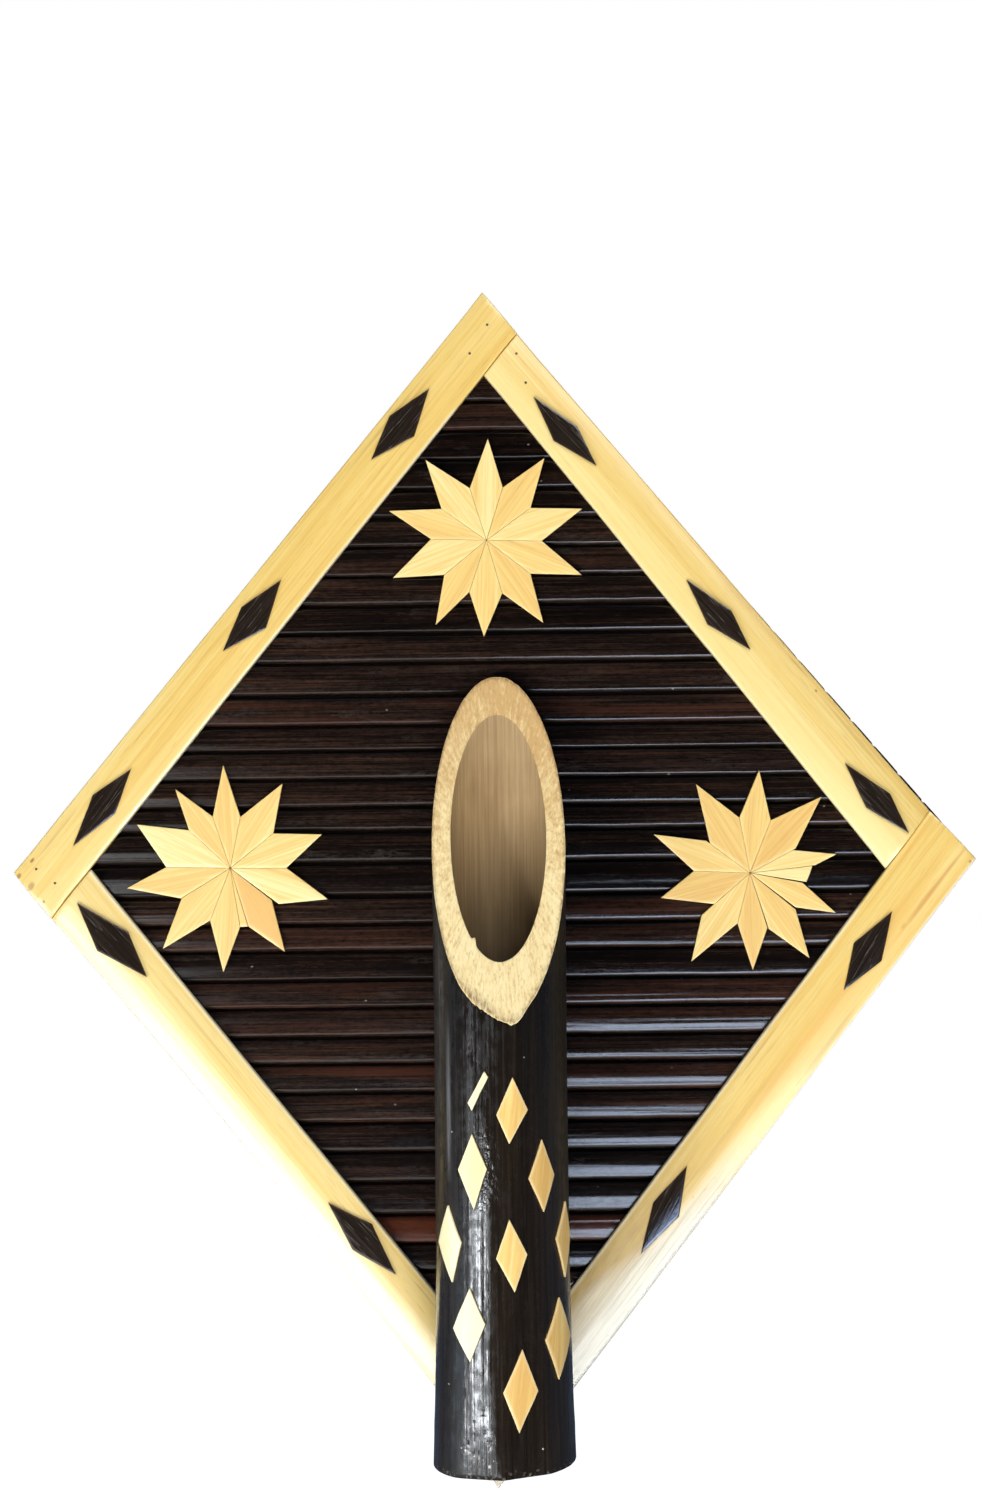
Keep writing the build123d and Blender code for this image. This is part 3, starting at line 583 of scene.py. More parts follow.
def stained_slat(name):
    """Dark stain under a brushed glossy varnish."""
    m = Mat(name)
    tone = m.attr("tone")
    g = spread(m, m.attr("grain", "Vector"), tone)
    broad = m.noise(m.vec("MULTIPLY", g, (0.010, 0.22, 0.22)), 3, 0.6)
    streak = m.noise(m.vec("MULTIPLY", g, (0.020, 1.3, 1.3)), 5, 0.65)
    brush = m.noise(m.vec("MULTIPLY", g, (0.10, 2.6, 2.6)), 3, 0.6)
    dust = m.noise(m.vec("MULTIPLY", g, (0.55, 0.8, 0.8)), 4, 0.7)
    dark = m.span(tone, 0.0, 1.0, 0.55, 2.5)
    f = m.math("ADD", m.math("MULTIPLY", m.math("SUBTRACT", streak, 0.5), 1.5), m.math("MULTIPLY", broad, 0.9))
    colour = m.ramp(f, [(0.22, (0.0046, 0.0030, 0.0022)), (0.48, (0.0145, 0.0080, 0.0054)), (0.78, (0.043, 0.0205, 0.0125))])
    mottle = m.noise(m.vec("MULTIPLY", g, (0.30, 0.95, 0.95)), 5, 0.75)
    dark = m.math("MULTIPLY", dark, m.span(mottle, 0.32, 0.68, 0.45, 1.55))
    colour = m.mix(1.0, colour, m.join(dark, dark, dark), "MULTIPLY")
    red = m.math("MULTIPLY", m.span(tone, 0.56, 0.90), m.span(broad, 0.40, 0.65))
    red = m.math("MULTIPLY", red, m.span(mottle, 0.35, 0.60, 0.25, 0.85))
    colour = m.mix(red, colour, (0.058, 0.0150, 0.0072))
    colour = m.mix(m.math("MULTIPLY", m.span(tone, 1.05, 1.25, 0.0, 0.8), m.span(mottle, 0.30, 0.55, 0.4, 1.0)), colour, (0.105, 0.0240, 0.0080))
    worn = m.math("MULTIPLY", m.attr("wear"), m.span(brush, 0.50, 0.75, 0.0, 0.5))
    colour = m.mix(worn, colour, (0.050, 0.028, 0.020))
    haze = m.math("MULTIPLY", m.span(m.noise(m.vec("MULTIPLY", g, (0.035, 0.20, 0.20)), 2, 0.5), 0.60, 0.74), m.span(mottle, 0.42, 0.66, 0.0, 0.75))
    colour = m.mix(haze, colour, (0.060, 0.050, 0.042))
    # specks of dust caught in the varnish
    flat = m.vec("MULTIPLY", g, (0.11, 0.17, 0.0))
    near = m.cells(flat, 1.0)
    pick = m.parts(m.cells(flat, 1.0, out="Color"))[0]
    speck = m.math("MULTIPLY", m.span(near, 0.035, 0.075, 1.0, 0.0), m.span(pick, 0.87, 0.88))
    colour = m.mix(m.math("MULTIPLY", speck, 0.7), colour, (0.36, 0.34, 0.31))
    m.set(Base_Color=colour, Roughness=m.span(dust, 0.3, 0.7, 0.07, 0.20))
    m.set(Coat_Weight=0.0, Specular_IOR_Level=0.42)
    height = m.math("ADD", m.math("MULTIPLY", streak, 0.7), m.math("MULTIPLY", brush, 0.3))
    height = m.math("ADD", height, m.math("MULTIPLY", speck, 0.8))
    m.bump(height, 0.00006, 0.5)
    return m.mat


def black_culm(name):
    """Black-brown varnish over the culm's skin: blotchy gloss, pebbled, with runs along the fibre."""
    m = Mat(name)
    g = m.attr("grain", "Vector")
    run = m.noise(m.vec("MULTIPLY", g, (0.010, 0.55, 0.55)), 4, 0.6)
    fine = m.noise(m.vec("MULTIPLY", g, (0.05, 1.7, 1.7)), 4, 0.65)
    pebble = m.noise(m.vec("MULTIPLY", g, (0.24, 0.36, 0.36)), 1.5, 0.45)
    blotch = m.noise(m.vec("MULTIPLY", g, (0.075, 0.15, 0.15)), 3, 0.6)
    brush = m.noise(m.vec("MULTIPLY", g, (0.022, 1.0, 1.0)), 3, 0.6)
    spot = m.noise(m.vec("MULTIPLY", g, (0.50, 0.60, 0.60)), 2, 0.5)
    colour = m.ramp(run, [(0.30, (0.0068, 0.0047, 0.0033)), (0.56, (0.0155, 0.0108, 0.0072)), (0.84, (0.034, 0.0225, 0.0142))])
    colour = m.mix(m.span(fine, 0.58, 0.78, 0.0, 0.45), colour, (0.048, 0.030, 0.019))
    h, x, y = m.parts(g)
    # painted shade: the varnish is made darker towards the mouth
    colour = m.mix(m.span(h, 135.0, 190.0, 0.0, 0.60), colour, (0.0040, 0.0030, 0.0022))
    worn = m.math("MULTIPLY", m.attr("wear"), m.span(spot, 0.58, 0.66))
    colour = m.mix(worn, colour, (0.30, 0.26, 0.20))
    # painted highlight: a light grey streak along the left border of the flat side, under the mouth
    painted_ridge_highlight = m.math("MULTIPLY", m.span(m.math("ABSOLUTE", m.math("ADD", x, 21.6)), 0.25, 1.15, 1.0, 0.0),
                   m.math("MULTIPLY", m.span(h, 118.0, 138.0), m.span(h, 158.0, 190.0, 1.0, 0.0)))
    colour = m.mix(m.math("MULTIPLY", painted_ridge_highlight, m.span(fine, 0.36, 0.60, 0.25, 0.75)), colour, (0.20, 0.20, 0.205))
    # places where the varnish has flaked: height, x, y on the skin, radius
    chipped = m.noise(m.vec("MULTIPLY", g, (0.8, 1.1, 1.1)), 3, 0.6)
    flaked = 0.0
    for at_h, at_x, at_y, r in culm_flakes:
        near = m.vec("DISTANCE", m.vec("MULTIPLY", g, (1.0, 1.0, 0.35)), (at_h, at_x, at_y * 0.35))
        near = m.math("MULTIPLY_ADD", m.math("SUBTRACT", chipped, 0.5), 3.0 * r, near)
        flaked = m.math("MAXIMUM", flaked, m.span(near, r * 0.55, r, 1.0, 0.0))
    colour = m.mix(m.math("MULTIPLY", flaked, 0.85), colour, (0.62, 0.58, 0.52))
    # gloss: dull where the varnish is thin, in grains, runs and larger patches
    dull = m.math("MULTIPLY_ADD", m.math("SUBTRACT", blotch, 0.5), 0.5, brush)
    dull = m.math("MULTIPLY_ADD", m.math("SUBTRACT", pebble, 0.5), 0.5, dull)
    rough = m.span(dull, 0.36, 0.70, 0.08, 0.38)
    rough = m.math("ADD", rough, m.span(h, 3.0, 15.0, 0.10, 0.0))
    aside = m.math("ABSOLUTE", x)
    rough = m.math("ADD", rough, m.math("MULTIPLY", m.span(aside, 17.0, 21.0, 0.0, 0.16), m.span(aside, 23.8, 25.4, 1.0, 0.0)))
    rough = m.math("ADD", rough, m.span(x, 17.0, 22.0, 0.0, 0.12))
    rough = m.math("ADD", rough, m.math("MULTIPLY", m.span(aside, 24.0, 26.0, 0.0, 0.30), m.span(h, 85.0, 110.0)))
    m.set(Base_Color=colour, Roughness=rough)
    m.set(Coat_Weight=0.0, Specular_IOR_Level=0.5)
    # dented stretch left of the front, under the mouth
    dents = m.math("MULTIPLY", m.span(m.math("ABSOLUTE", m.math("SUBTRACT", h, 125.0)), 7.0, 23.0, 1.0, 0.0),
                   m.span(m.math("ABSOLUTE", m.math("ADD", x, 2.0)), 4.0, 10.0, 1.0, 0.0))
    height = m.math("ADD", m.math("MULTIPLY", run, 0.30), m.math("MULTIPLY", fine, 0.10))
    height = m.math("ADD", height, m.math("MULTIPLY", brush, 0.10))
    height = m.math("ADD", height, m.math("MULTIPLY", pebble, m.math("MULTIPLY_ADD", dents, 1.0, 0.52)))
    height = m.math("ADD", height, m.math("MULTIPLY", m.math("MULTIPLY", spot, dents), 2.0))
    height = m.math("MULTIPLY_ADD", flaked, -0.5, height)
    m.bump(height, 0.00026, 0.8)
    return m.mat


def cut_culm(name):
    """Sawn culm wall: pale ground with fibre bundles, dragged by the saw, with painted shade deepening the tone towards
    the tall back and to the right.
    """
    m = Mat(name)
    g = m.attr("grain", "Vector")
    h, x, y = m.parts(g)
    flat = m.join(m.math("MULTIPLY", h, 0.012), x, y)
    grit = m.noise(m.vec("MULTIPLY", g, (0.08, 1.0, 1.0)), 5, 0.7)
    soft = m.noise(m.vec("MULTIPLY", g, (0.02, 0.16, 0.16)), 3, 0.5)
    turn = m.math("MULTIPLY", m.math("ARCTAN2", x, m.math("MULTIPLY", y, -1.0)), 24.0)
    out = m.vec("LENGTH", m.join(x, y, 0.0), (0.0, 0.0, 0.0))
    drag = m.noise(m.join(m.math("MULTIPLY", turn, 0.95), m.math("MULTIPLY", out, 0.20), m.math("MULTIPLY", h, 0.004)), 4, 0.65)
    dots = m.cells(flat, 0.82)
    dot = m.math("MULTIPLY", m.span(dots, 0.16, 0.34, 1.0, 0.0), m.span(grit, 0.38, 0.58))
    f = m.math("ADD", m.math("MULTIPLY", grit, 0.72), m.math("MULTIPLY", soft, 0.40))
    f = m.math("MULTIPLY_ADD", m.math("SUBTRACT", drag, 0.5), 0.62, m.math("ADD", f, -0.08))
    # painted shade: deeper in tone towards the tall back and to the right
    f = m.math("ADD", f, m.span(h, 235.0, 318.0, 0.0, 0.31))
    f = m.math("ADD", f, m.math("MULTIPLY", m.span(x, 0.0, 22.0, 0.03, 0.10), m.span(h, 215.0, 280.0, 0.5, 1.0)))
    colour = m.ramp(f, [(0.26, (0.97, 0.86, 0.52)), (0.50, (0.93, 0.755, 0.39)), (0.84, (0.66, 0.42, 0.165))])
    colour = m.mix(m.math("MULTIPLY", dot, 0.40), colour, (0.46, 0.27, 0.10))
    lines = m.span(drag, 0.58, 0.72, 0.0, 0.42)
    colour = m.mix(lines, colour, (0.52, 0.32, 0.13))
    rim = m.attr("wear")
    colour = m.mix(m.math("MULTIPLY", rim, m.span(grit, 0.35, 0.65, 0.20, 0.95)), colour, (0.20, 0.105, 0.042))
    m.set(Base_Color=colour, Roughness=m.span(grit, 0.3, 0.7, 0.55, 0.75), Specular_IOR_Level=0.35)
    height = m.math("SUBTRACT", m.math("MULTIPLY", grit, 0.9), m.math("MULTIPLY", dot, 0.5))
    m.bump(height, 0.00022, 0.7)
    return m.mat


def bore_wall(name):
    """Inside of the culm: papery tan lining with runs along the fibre, and painted shade towards the bottom."""
    m = Mat(name)
    g = m.attr("grain", "Vector")
    run = m.noise(m.vec("MULTIPLY", g, (0.02, 0.9, 0.9)), 5, 0.65)
    stain = m.noise(m.vec("MULTIPLY", g, (0.03, 0.07, 0.07)), 3, 0.55)
    f = m.math("ADD", m.math("MULTIPLY", run, 0.6), m.math("MULTIPLY", stain, 0.4))
    colour = m.ramp(f, [(0.28, (0.56, 0.40, 0.21)), (0.52, (0.40, 0.265, 0.125)), (0.80, (0.22, 0.13, 0.06))])
    h, x, y = m.parts(g)
    # painted shade: the lining is made dark towards the bottom of the bore
    painted_depth_shade = m.span(m.math("MULTIPLY_ADD", m.math("SUBTRACT", stain, 0.5), 46.0, h), 197.0, 272.0, 0.97, 0.0)
    colour = m.mix(painted_depth_shade, colour, (0.020, 0.0115, 0.0048))
    m.set(Base_Color=colour, Roughness=m.span(run, 0.3, 0.7, 0.5, 0.72), Specular_IOR_Level=0.35)
    m.bump(run, 0.0002, 0.6)
    return m.mat


def stained_board(name):
    """Thin plywood board under dark stain: brushed face, layered edge."""
    m = Mat(name)
    g = m.attr("grain", "Vector")
    x, y, z = m.parts(g)
    face = m.noise(m.vec("MULTIPLY", g, (0.012, 0.35, 0.35)), 5, 0.65, warp=0.6)
    pore = m.noise(m.vec("MULTIPLY", g, (0.09, 1.9, 1.9)), 3, 0.6)
    blotch = m.noise(m.vec("MULTIPLY", g, (0.018, 0.024, 0.02)), 3, 0.6)
    f = m.math("ADD", m.math("MULTIPLY", face, 0.7), m.math("MULTIPLY", blotch, 0.35))
    colour = m.ramp(f, [(0.32, (0.022, 0.013, 0.009)), (0.55, (0.045, 0.025, 0.016)), (0.80, (0.090, 0.048, 0.027))])
    colour = m.mix(m.span(pore, 0.58, 0.72, 0.0, 0.6), colour, (0.010, 0.006, 0.005))
    ply = m.math("PINGPONG", z, 0.67)
    layer = m.math("MULTIPLY", m.span(ply, 0.26, 0.42), m.span(m.attr("wear"), 0.15, 0.21))
    colour = m.mix(m.math("MULTIPLY", layer, 0.45), colour, (0.105, 0.058, 0.030))
    m.set(Base_Color=colour, Roughness=m.span(face, 0.3, 0.7, 0.45, 0.66), Specular_IOR_Level=0.4)
    m.bump(m.math("ADD", face, m.math("MULTIPLY", pore, -0.6)), 0.00016, 0.6)
    return m.mat


def plated(name, base, dull, rough):
    """Plated metal with rubbed and dulled patches; carried by the object's own coordinates."""
    m = Mat(name)
    p = m.obj()
    cloud = m.noise(p, 4, 0.6, scale=260.0)
    scratch = m.noise(m.vec("MULTIPLY", p, (2600.0, 2600.0, 320.0)), 2, 0.5)
    colour = m.mix(m.span(cloud, 0.42, 0.66), base, dull)
    m.set(Base_Color=colour, Metallic=1.0, Roughness=m.span(cloud, 0.3, 0.7, rough - 0.08, rough + 0.18))
    m.bump(m.math("ADD", m.math("MULTIPLY", scratch, 0.4), cloud), 0.00004, 0.5)
    return m.mat


# dark marks on the rails: place along (400 to a rail) and across, half length, half width, strength
rail_stains = [
    (9.9, 2.8, 1.6, 0.8, 0.85), (1.0, 2.7, 1.8, 1.2, 0.70), (2.4, 9.4, 2.6, 1.5, 0.55), (2.4, 17.6, 0.8, 0.8, 0.85),
    (26.0, 4.0, 16.0, 0.7, 0.22), (250.0, 3.4, 34.0, 1.0, 0.26), (262.0, 6.0, 26.0, 0.6, 0.20),
    (600.0, 3.1, 0.9, 0.6, 0.75), (587.0, 2.0, 9.0, 0.5, 0.35), (625.0, 3.2, 26.0, 0.9, 0.24), (560.0, 2.2, 30.0, 1.0, 0.22),
    (1224.0, 7.1, 30.0, 1.2, 0.46, (0.50, 0.17, 0.02)), (1230.0, 7.4, 15.0, 1.5, 0.34, (0.50, 0.16, 0.015)),
    (1243.0, 7.9, 2.2, 1.0, 0.45, (0.46, 0.15, 0.02)), (1202.7, 1.6, 0.9, 0.8, 0.70),
    (1300.0, 3.0, 26.0, 1.4, 0.26), (1326.0, 25.9, 18.0, 0.7, 0.26), (1345.0, 15.0, 40.0, 1.2, 0.16),
    (1383.4, 7.6, 1.0, 0.7, 0.45), (1389.6, 10.0, 0.9, 0.7, 0.40), (1376.7, 7.3, 0.8, 0.6, 0.40), (1394.0, 5.2, 0.7, 0.5, 0.35),
    (1443.0, 9.8, 24.0, 0.35, 0.62), (1443.0, 3.3, 22.0, 0.32, 0.60), (1455.0, 6.6, 16.0, 0.30, 0.50), (1470.0, 12.4, 18.0, 0.35, 0.40),
    (1034.0, 21.8, 14.0, 0.5, 0.22), (990.0, 18.0, 30.0, 0.8, 0.16), (880.0, 19.0, 40.0, 0.8, 0.18),
]
RAIL = pale_bamboo("pale_rail", (0.93, 0.74, 0.31), (0.86, 0.61, 0.175), (0.74, 0.44, 0.10), 0.28, 0.40,
                   fibre=0.82, stains=rail_stains, weathering_and_painted_light=0.10)
INLAY = pale_bamboo("pale_inlay", (0.95, 0.79, 0.36), (0.88, 0.62, 0.19), (0.78, 0.46, 0.115), 0.44, 0.10, 0.90)
CHIP = pale_bamboo("pale_chip", (0.95, 0.79, 0.36), (0.88, 0.62, 0.19), (0.78, 0.46, 0.115), 0.30, 0.45, 1.25, rim=0.75)
BATTEN = pale_bamboo("plain_bamboo", (0.72, 0.53, 0.29), (0.60, 0.41, 0.20), (0.46, 0.29, 0.12), 0.55, 0.0, 1.25)
SLAT = stained_slat("stained_slat")
CULM = black_culm("black_culm")
CUT = cut_culm("culm_cut_face")
BORE = bore_wall("culm_bore")
BOARD = stained_board("stained_board")
BRASS = plated("hanger_brass", (0.78, 0.56, 0.26), (0.46, 0.31, 0.15), 0.30)
STEEL = plated("zinc_steel", (0.62, 0.61, 0.59), (0.36, 0.35, 0.34), 0.36)
RUST = plated("brad_steel", (0.16, 0.12, 0.10), (0.09, 0.05, 0.035), 0.50)


def dark_inlay(name, raw):
    """Dark bamboo skin; its sawn sides show the brown wall under the skin."""
    m = Mat(name)
    tone = m.attr("tone")
    g = spread(m, m.attr("grain", "Vector"), tone)
    streak = m.noise(m.vec("MULTIPLY", g, (0.05, 1.5, 1.5)), 5, 0.65)
    pebble = m.noise(m.vec("MULTIPLY", g, (0.5, 0.9, 0.9)), 4, 0.6)
    if raw:
        colour = m.ramp(streak, [(0.3, (0.13, 0.062, 0.028)), (0.55, (0.075, 0.035, 0.017)), (0.8, (0.032, 0.015, 0.009))])
        m.set(Base_Color=colour, Roughness=m.span(streak, 0.3, 0.7, 0.5, 0.7), Specular_IOR_Level=0.4)
        m.bump(streak, 0.00012, 0.5)
        return m.mat
    colour = m.ramp(streak, [(0.32, (0.0085, 0.0060, 0.0046)), (0.58, (0.0200, 0.0138, 0.0102)), (0.82, (0.044, 0.0270, 0.0180))])
    line = m.noise(m.vec("MULTIPLY", g, (0.030, 1.15, 0.0)), 0, 0.5)
    line = m.span(m.math("ABSOLUTE", m.math("SUBTRACT", line, 0.63)), 0.004, 0.012, 0.75, 0.0)
    colour = m.mix(line, colour, (0.16, 0.145, 0.13))
    colour = m.mix(m.math("MULTIPLY", m.attr("wear"), 0.4), colour, (0.075, 0.042, 0.024))
    m.set(Base_Color=colour, Roughness=m.span(pebble, 0.3, 0.7, 0.06, 0.15))
    m.set(Coat_Weight=0.0, Specular_IOR_Level=0.5)
    m.bump(m.math("ADD", streak, m.math("MULTIPLY", pebble, 0.6)), 0.00014, 0.5)
    return m.mat


LOZENGE, LOZENGE_SIDE = dark_inlay("dark_inlay", False), dark_inlay("dark_inlay_side", True)


# ---------------------------------------------------------------- slats
# the panel's corners with heights measured from the slats' own slope
level = [(x, z - slat_lift - slat_slope * x) for x, z in panel]


def edge_x(z, side):
    """x of the panel's left or right outline at a height measured from the slats' slope."""
    corner, top, low = (level[0], level[1], level[3]) if side < 0 else (level[2], level[1], level[3])
    up = corner[0] + (z - corner[1]) * (top[0] - corner[0]) / (top[1] - corner[1])
    down = corner[0] + (z - corner[1]) * (low[0] - corner[0]) / (low[1] - corner[1])
    return np.where(z > corner[1], up, down)


seams = [seam_z[0] - slat_lift] + seam_z[1:-1] + [seam_z[-1] - slat_lift]
for number, (top, low) in enumerate(zip(seams, seams[1:]), start=1):
    rng = np.random.RandomState(500 + number)
    high, low = top - slat_gap / 2, low + slat_gap / 2
    w = high - low
    edge, deep = Noise(1000 + number), Noise(2000 + number)
    mid = (high + low) / 2
    span = float(edge_x(np.array(mid), 1) - edge_x(np.array(mid), -1))
    stations = max(4, int(span / 2.6))
    u = np.linspace(0, 1, stations)
    along = (u - 0.5) * span
    r_low, r_top = rng.uniform(1.0, 1.7), rng.uniform(1.1, 2.3)
    crown, tilt, drop = rng.uniform(0.22, 0.46) * 0.30, rng.uniform(-0.20, 0.16) * 0.4, rng.uniform(0.0, 0.16)
    cut = np.random.RandomState(4500 + number)
    shoulder, lean_low, lean_up = cut.uniform(0.40, 0.56), cut.uniform(3.4, 5.4), cut.uniform(0.4, 2.2)
    r_low = cut.uniform(1.1, 2.2)
    # section from the back's lower corner, up over the face to the back's upper corner
    arc = np.radians(np.linspace(0, 90, 6))
    zz = [0.0] + list(r_low * (1 - np.cos(arc)))
    dd = [0.0] + list(r_low * np.sin(arc) - r_low)
    face = np.linspace(r_low, w - r_top, 13)[1:-1]
    zz += list(face) + list(w - r_top + r_top * np.sin(arc)) + [w]
    dd += [0.0] * len(face) + list(r_top * np.cos(arc) - r_top) + [0.0]
    zz, dd = np.array(zz), np.array(dd)
    back = np.zeros(len(zz), bool)
    back[0] = back[-1] = True
    fibre = Noise(3000 + number)
    t = zz / w
    past = t - shoulder
    below, above = 0.5 * (np.hypot(past, 0.05) - past), 0.5 * (np.hypot(past, 0.05) + past)
    shape = dd - crown * (2 * t - 1) ** 2 - tilt * (t - 0.5) - abs(tilt) / 2 - drop
    shape = shape - w * (below * math.tan(math.radians(lean_low)) + above * math.tan(math.radians(lean_up)))
    A, T = np.meshgrid(along, t, indexing="ij")
    ridges = 0.05 * (fibre(A * 0.012, zz[None, :] * 1.4 + 5) - 1) + 0.03 * (fibre(A * 0.02 + 40, zz[None, :] * 3.1) - 1)
    wave = 0.10 * (deep(A * 0.018, 0.5) - 1)
    depth = slat_front + shape[None, :] + np.where(back[None, :], 0, ridges) + wave
    depth = np.where(back[None, :], board_front, depth)
    ragged = rng.uniform(0.04, 0.16)
    lower = 0.20 * edge(A * 0.021, 1.5) + ragged * edge(A * 0.17 + 20, 3.5)
    upper = 0.20 * edge(A * 0.021, 7.5) + ragged * edge(A * 0.17 + 20, 9.5)
    z = low + zz[None, :] + (1 - T) * lower + T * upper
    z = np.clip(z, low - 0.35, high + 0.35)
    xl, xr = edge_x(z, -1), edge_x(z, 1)
    x = xl + (xr - xl) * u[:, None]
    wear = np.clip(1 - np.minimum(zz - r_low * 0.35, w - zz - r_top * 0.4) / 1.6, 0, 1)
    wear = np.broadcast_to(wear[None, :], x.shape)
    grain = np.stack([x, z - low, depth], -1)
    piece = Piece()
    tone = slat_tones.get(number, float(rng.rand()))
    idx = piece.grid(world(x, depth, z + slat_lift + slat_slope * x), grain, 0, tone, wear, wrap_v=True)
    piece.face(idx[0], 0, tone)
    piece.face(idx[-1][::-1], 0, tone)
    piece.make(f"slat_{number:02d}_finish", [SLAT], [f"slat_{number:02d}"])


# ---------------------------------------------------------------- rails
def along_line(points, s):
    """Points at shares s of the way along a broken line."""
    p = np.asarray(points, float)
    d = np.concatenate([[0], np.cumsum(np.hypot(*np.diff(p, axis=0).T))])
    s = np.asarray(s) * d[-1]
    return np.stack([np.interp(s, d, p[:, 0]), np.interp(s, d, p[:, 1])], -1)


def crown_depth(name, x, z):
    (x0, z0), (x1, z1) = rails[name][2]
    length = math.hypot(x1 - x0, z1 - z0)
    off = ((x - x0) * -(z1 - z0) + (z - z0) * (x1 - x0)) / length
    return slat_front + rail_crown - rail_radius + np.sqrt(rail_radius**2 - off**2)


def rail_frame(name):
    (x0, z0), (x1, z1) = rails[name][2]
    length = math.hypot(x1 - x0, z1 - z0)
    return (x0, z0), ((x1 - x0) / length, (z1 - z0) / length), length


for k, name in enumerate(rails):
    outer, inner, _ = rails[name]
    origin, way, length = rail_frame(name)
    n1, n2, n3 = Noise(71 + k), Noise(171 + k), Noise(271 + k)
    step = 2.6
    s = np.concatenate([[0.0, 0.25 / length, 0.7 / length], np.linspace(0, 1, int(length / step))[1:-1],
                        [1 - 0.7 / length, 1 - 0.25 / length, 1.0]])
    ease = np.array([0.45, 0.12] + [0.0] * (len(s) - 4) + [0.12, 0.45])  # softened ends
    A, B = along_line(outer, s), along_line(inner, s)
    width = float(np.mean(np.hypot(*(A - B).T)))
    r = 0.75
    arc = np.radians(np.linspace(0, 90, 5))
    tt = [0.0] + list(r * (1 - np.cos(arc))) + list(np.linspace(r, width - r, 25)[1:-1])
    fall = [0.0] + list(r - r * np.sin(arc)) + [0.0] * 23
    tt += list(width - r + r * np.sin(arc)) + [width]
    fall += list(r - r * np.cos(arc)) + [0.0]
    tt, fall = np.array(tt) / width, np.array(fall)
    back = np.zeros(len(tt), bool)
    back[0] = back[-1] = True
    lon = s * length
    # the sawn edges wander a little, inwards only
    wander_a = 0.20 * (n1(lon * 0.025, 0.5) - 1) * np.minimum(1, np.minimum(lon, length - lon) / 12)
    wander_b = 0.20 * (n1(lon * 0.025, 9.5) - 1) * np.minimum(1, np.minimum(lon, length - lon) / 12)
    cross = (B - A) / np.hypot(*(B - A).T)[:, None]
    A = A - cross * wander_a[:, None]
    B = B + cross * wander_b[:, None]
    P = A[:, None, :] + (B - A)[:, None, :] * tt[None, :, None]
    X, Z = P[..., 0], P[..., 1]
    lon2, acr = np.broadcast_to(lon[:, None], X.shape), tt[None, :] * width
    ripple = 0.045 * (n2(lon2 * 0.010, acr * 0.9) - 1) + 0.02 * (n2(lon2 * 0.016 + 30, acr * 2.3) - 1)
    swell = 0.10 * (n3(lon2 * 0.016, acr * 0.05) - 1)
    depth = crown_depth(name, X, Z) - fall[None, :] - ease[:, None] + ripple + swell
    depth = np.where(back[None, :], slat_front, depth)
    wear = np.clip(1 - np.minimum(tt, 1 - tt) * width / 1.3, 0, 1)[None, :] * np.ones_like(X)
    grain = np.stack([lon2 + 400 * k, np.broadcast_to(acr, X.shape), depth], -1)
    piece = Piece()
    tone = [0.50, 0.34, 0.18, 0.50][k]
    idx = piece.grid(world(X, depth, Z), grain, 0, tone, wear, wrap_v=True)
    piece.face(idx[0], 0, tone)
    piece.face(idx[-1][::-1], 0, tone)
    piece.make(f"{name}_finish", [RAIL], [name])

# dark lozenges, bent over the rails' crowns
piece = Piece()
for k, (name, corners) in enumerate(rail_lozenges):
    rng = np.random.RandomState(60 + k)
    long_axis = np.subtract(corners[2], corners[0])
    plate(
        piece, corners,
        lambda u, v, d, name=name: world(u, crown_depth(name, u, v) + lozenge_glue + d - 0.02, v),
        lozenge_t, 0.22, long_axis, steps=9, rings=6, tone=float(rng.rand()), side=1, top=0, under=1,
        seed=80 + k, wobble=0.12,
    )
piece.make("rail_diamonds_finish", [LOZENGE, LOZENGE_SIDE], ["rail_diamonds"])

# brads: domed heads level with the rails' faces, shanks down into the board
piece = Piece()
for k, (name, x, z) in enumerate(brads):
    top = float(crown_depth(name, x, z)) - 0.02
    stations = [(9.8, 0.05), (11.2, 0.55), (top - 0.35, 0.6), (top - 0.12, 0.58), (top - 0.03, 0.45), (top, 0.2)]
    a = np.radians(np.arange(0, 360, 30))
    co = np.stack([world(x + r * np.cos(a), d + 0 * a, z + r * np.sin(a)) for d, r in stations])
    grain = np.stack([np.stack([d + 0 * a, r * np.cos(a), r * np.sin(a)], -1) for d, r in stations])
    idx = piece.grid(co, grain, 0, 0.5, 0.0, wrap_v=True)
    piece.face(idx[0], 0)
    piece.face(idx[-1][::-1], 0)
piece.make("rail_brads_finish", [RUST], ["rail_brads"])

# ---------------------------------------------------------------- stars
for k, (name, (centre, petals, tones)) in enumerate(stars.items()):
    piece = Piece()
    for j, petal in enumerate(petals):
        rng = np.random.RandomState(900 + 20 * k + j)
        corners = [(centre[0] + x, centre[1] + z) for x, z in inset([(0, 0), *petal], 0.06)]
        tip = petal[1] if len(petal) == 3 else np.mean(petal, 0)
        a, b = rng.uniform(-0.006, 0.006, 2)
        mid = np.mean(np.asarray(corners), 0)
        axis = np.asarray(tip, float) / np.hypot(*tip)

        def lift(u, v, a=a, b=b, mid=mid, axis=axis):
            across = -(u - mid[0]) * axis[1] + (v - mid[1]) * axis[0]
            return -0.16 + a * (u - mid[0]) + b * (v - mid[1]) - 0.0012 * across**2

        plate(
            piece, corners, lambda u, v, d: world(u, slat_front + d, v), star_t, 0.20 if len(petal) == 3 else 0.12,
            tip, steps=7, rings=5, tone=tones[j], lift=lift, seed=1200 + 20 * k + j,
        )
    piece.make(f"{name}_finish", [INLAY], [name])


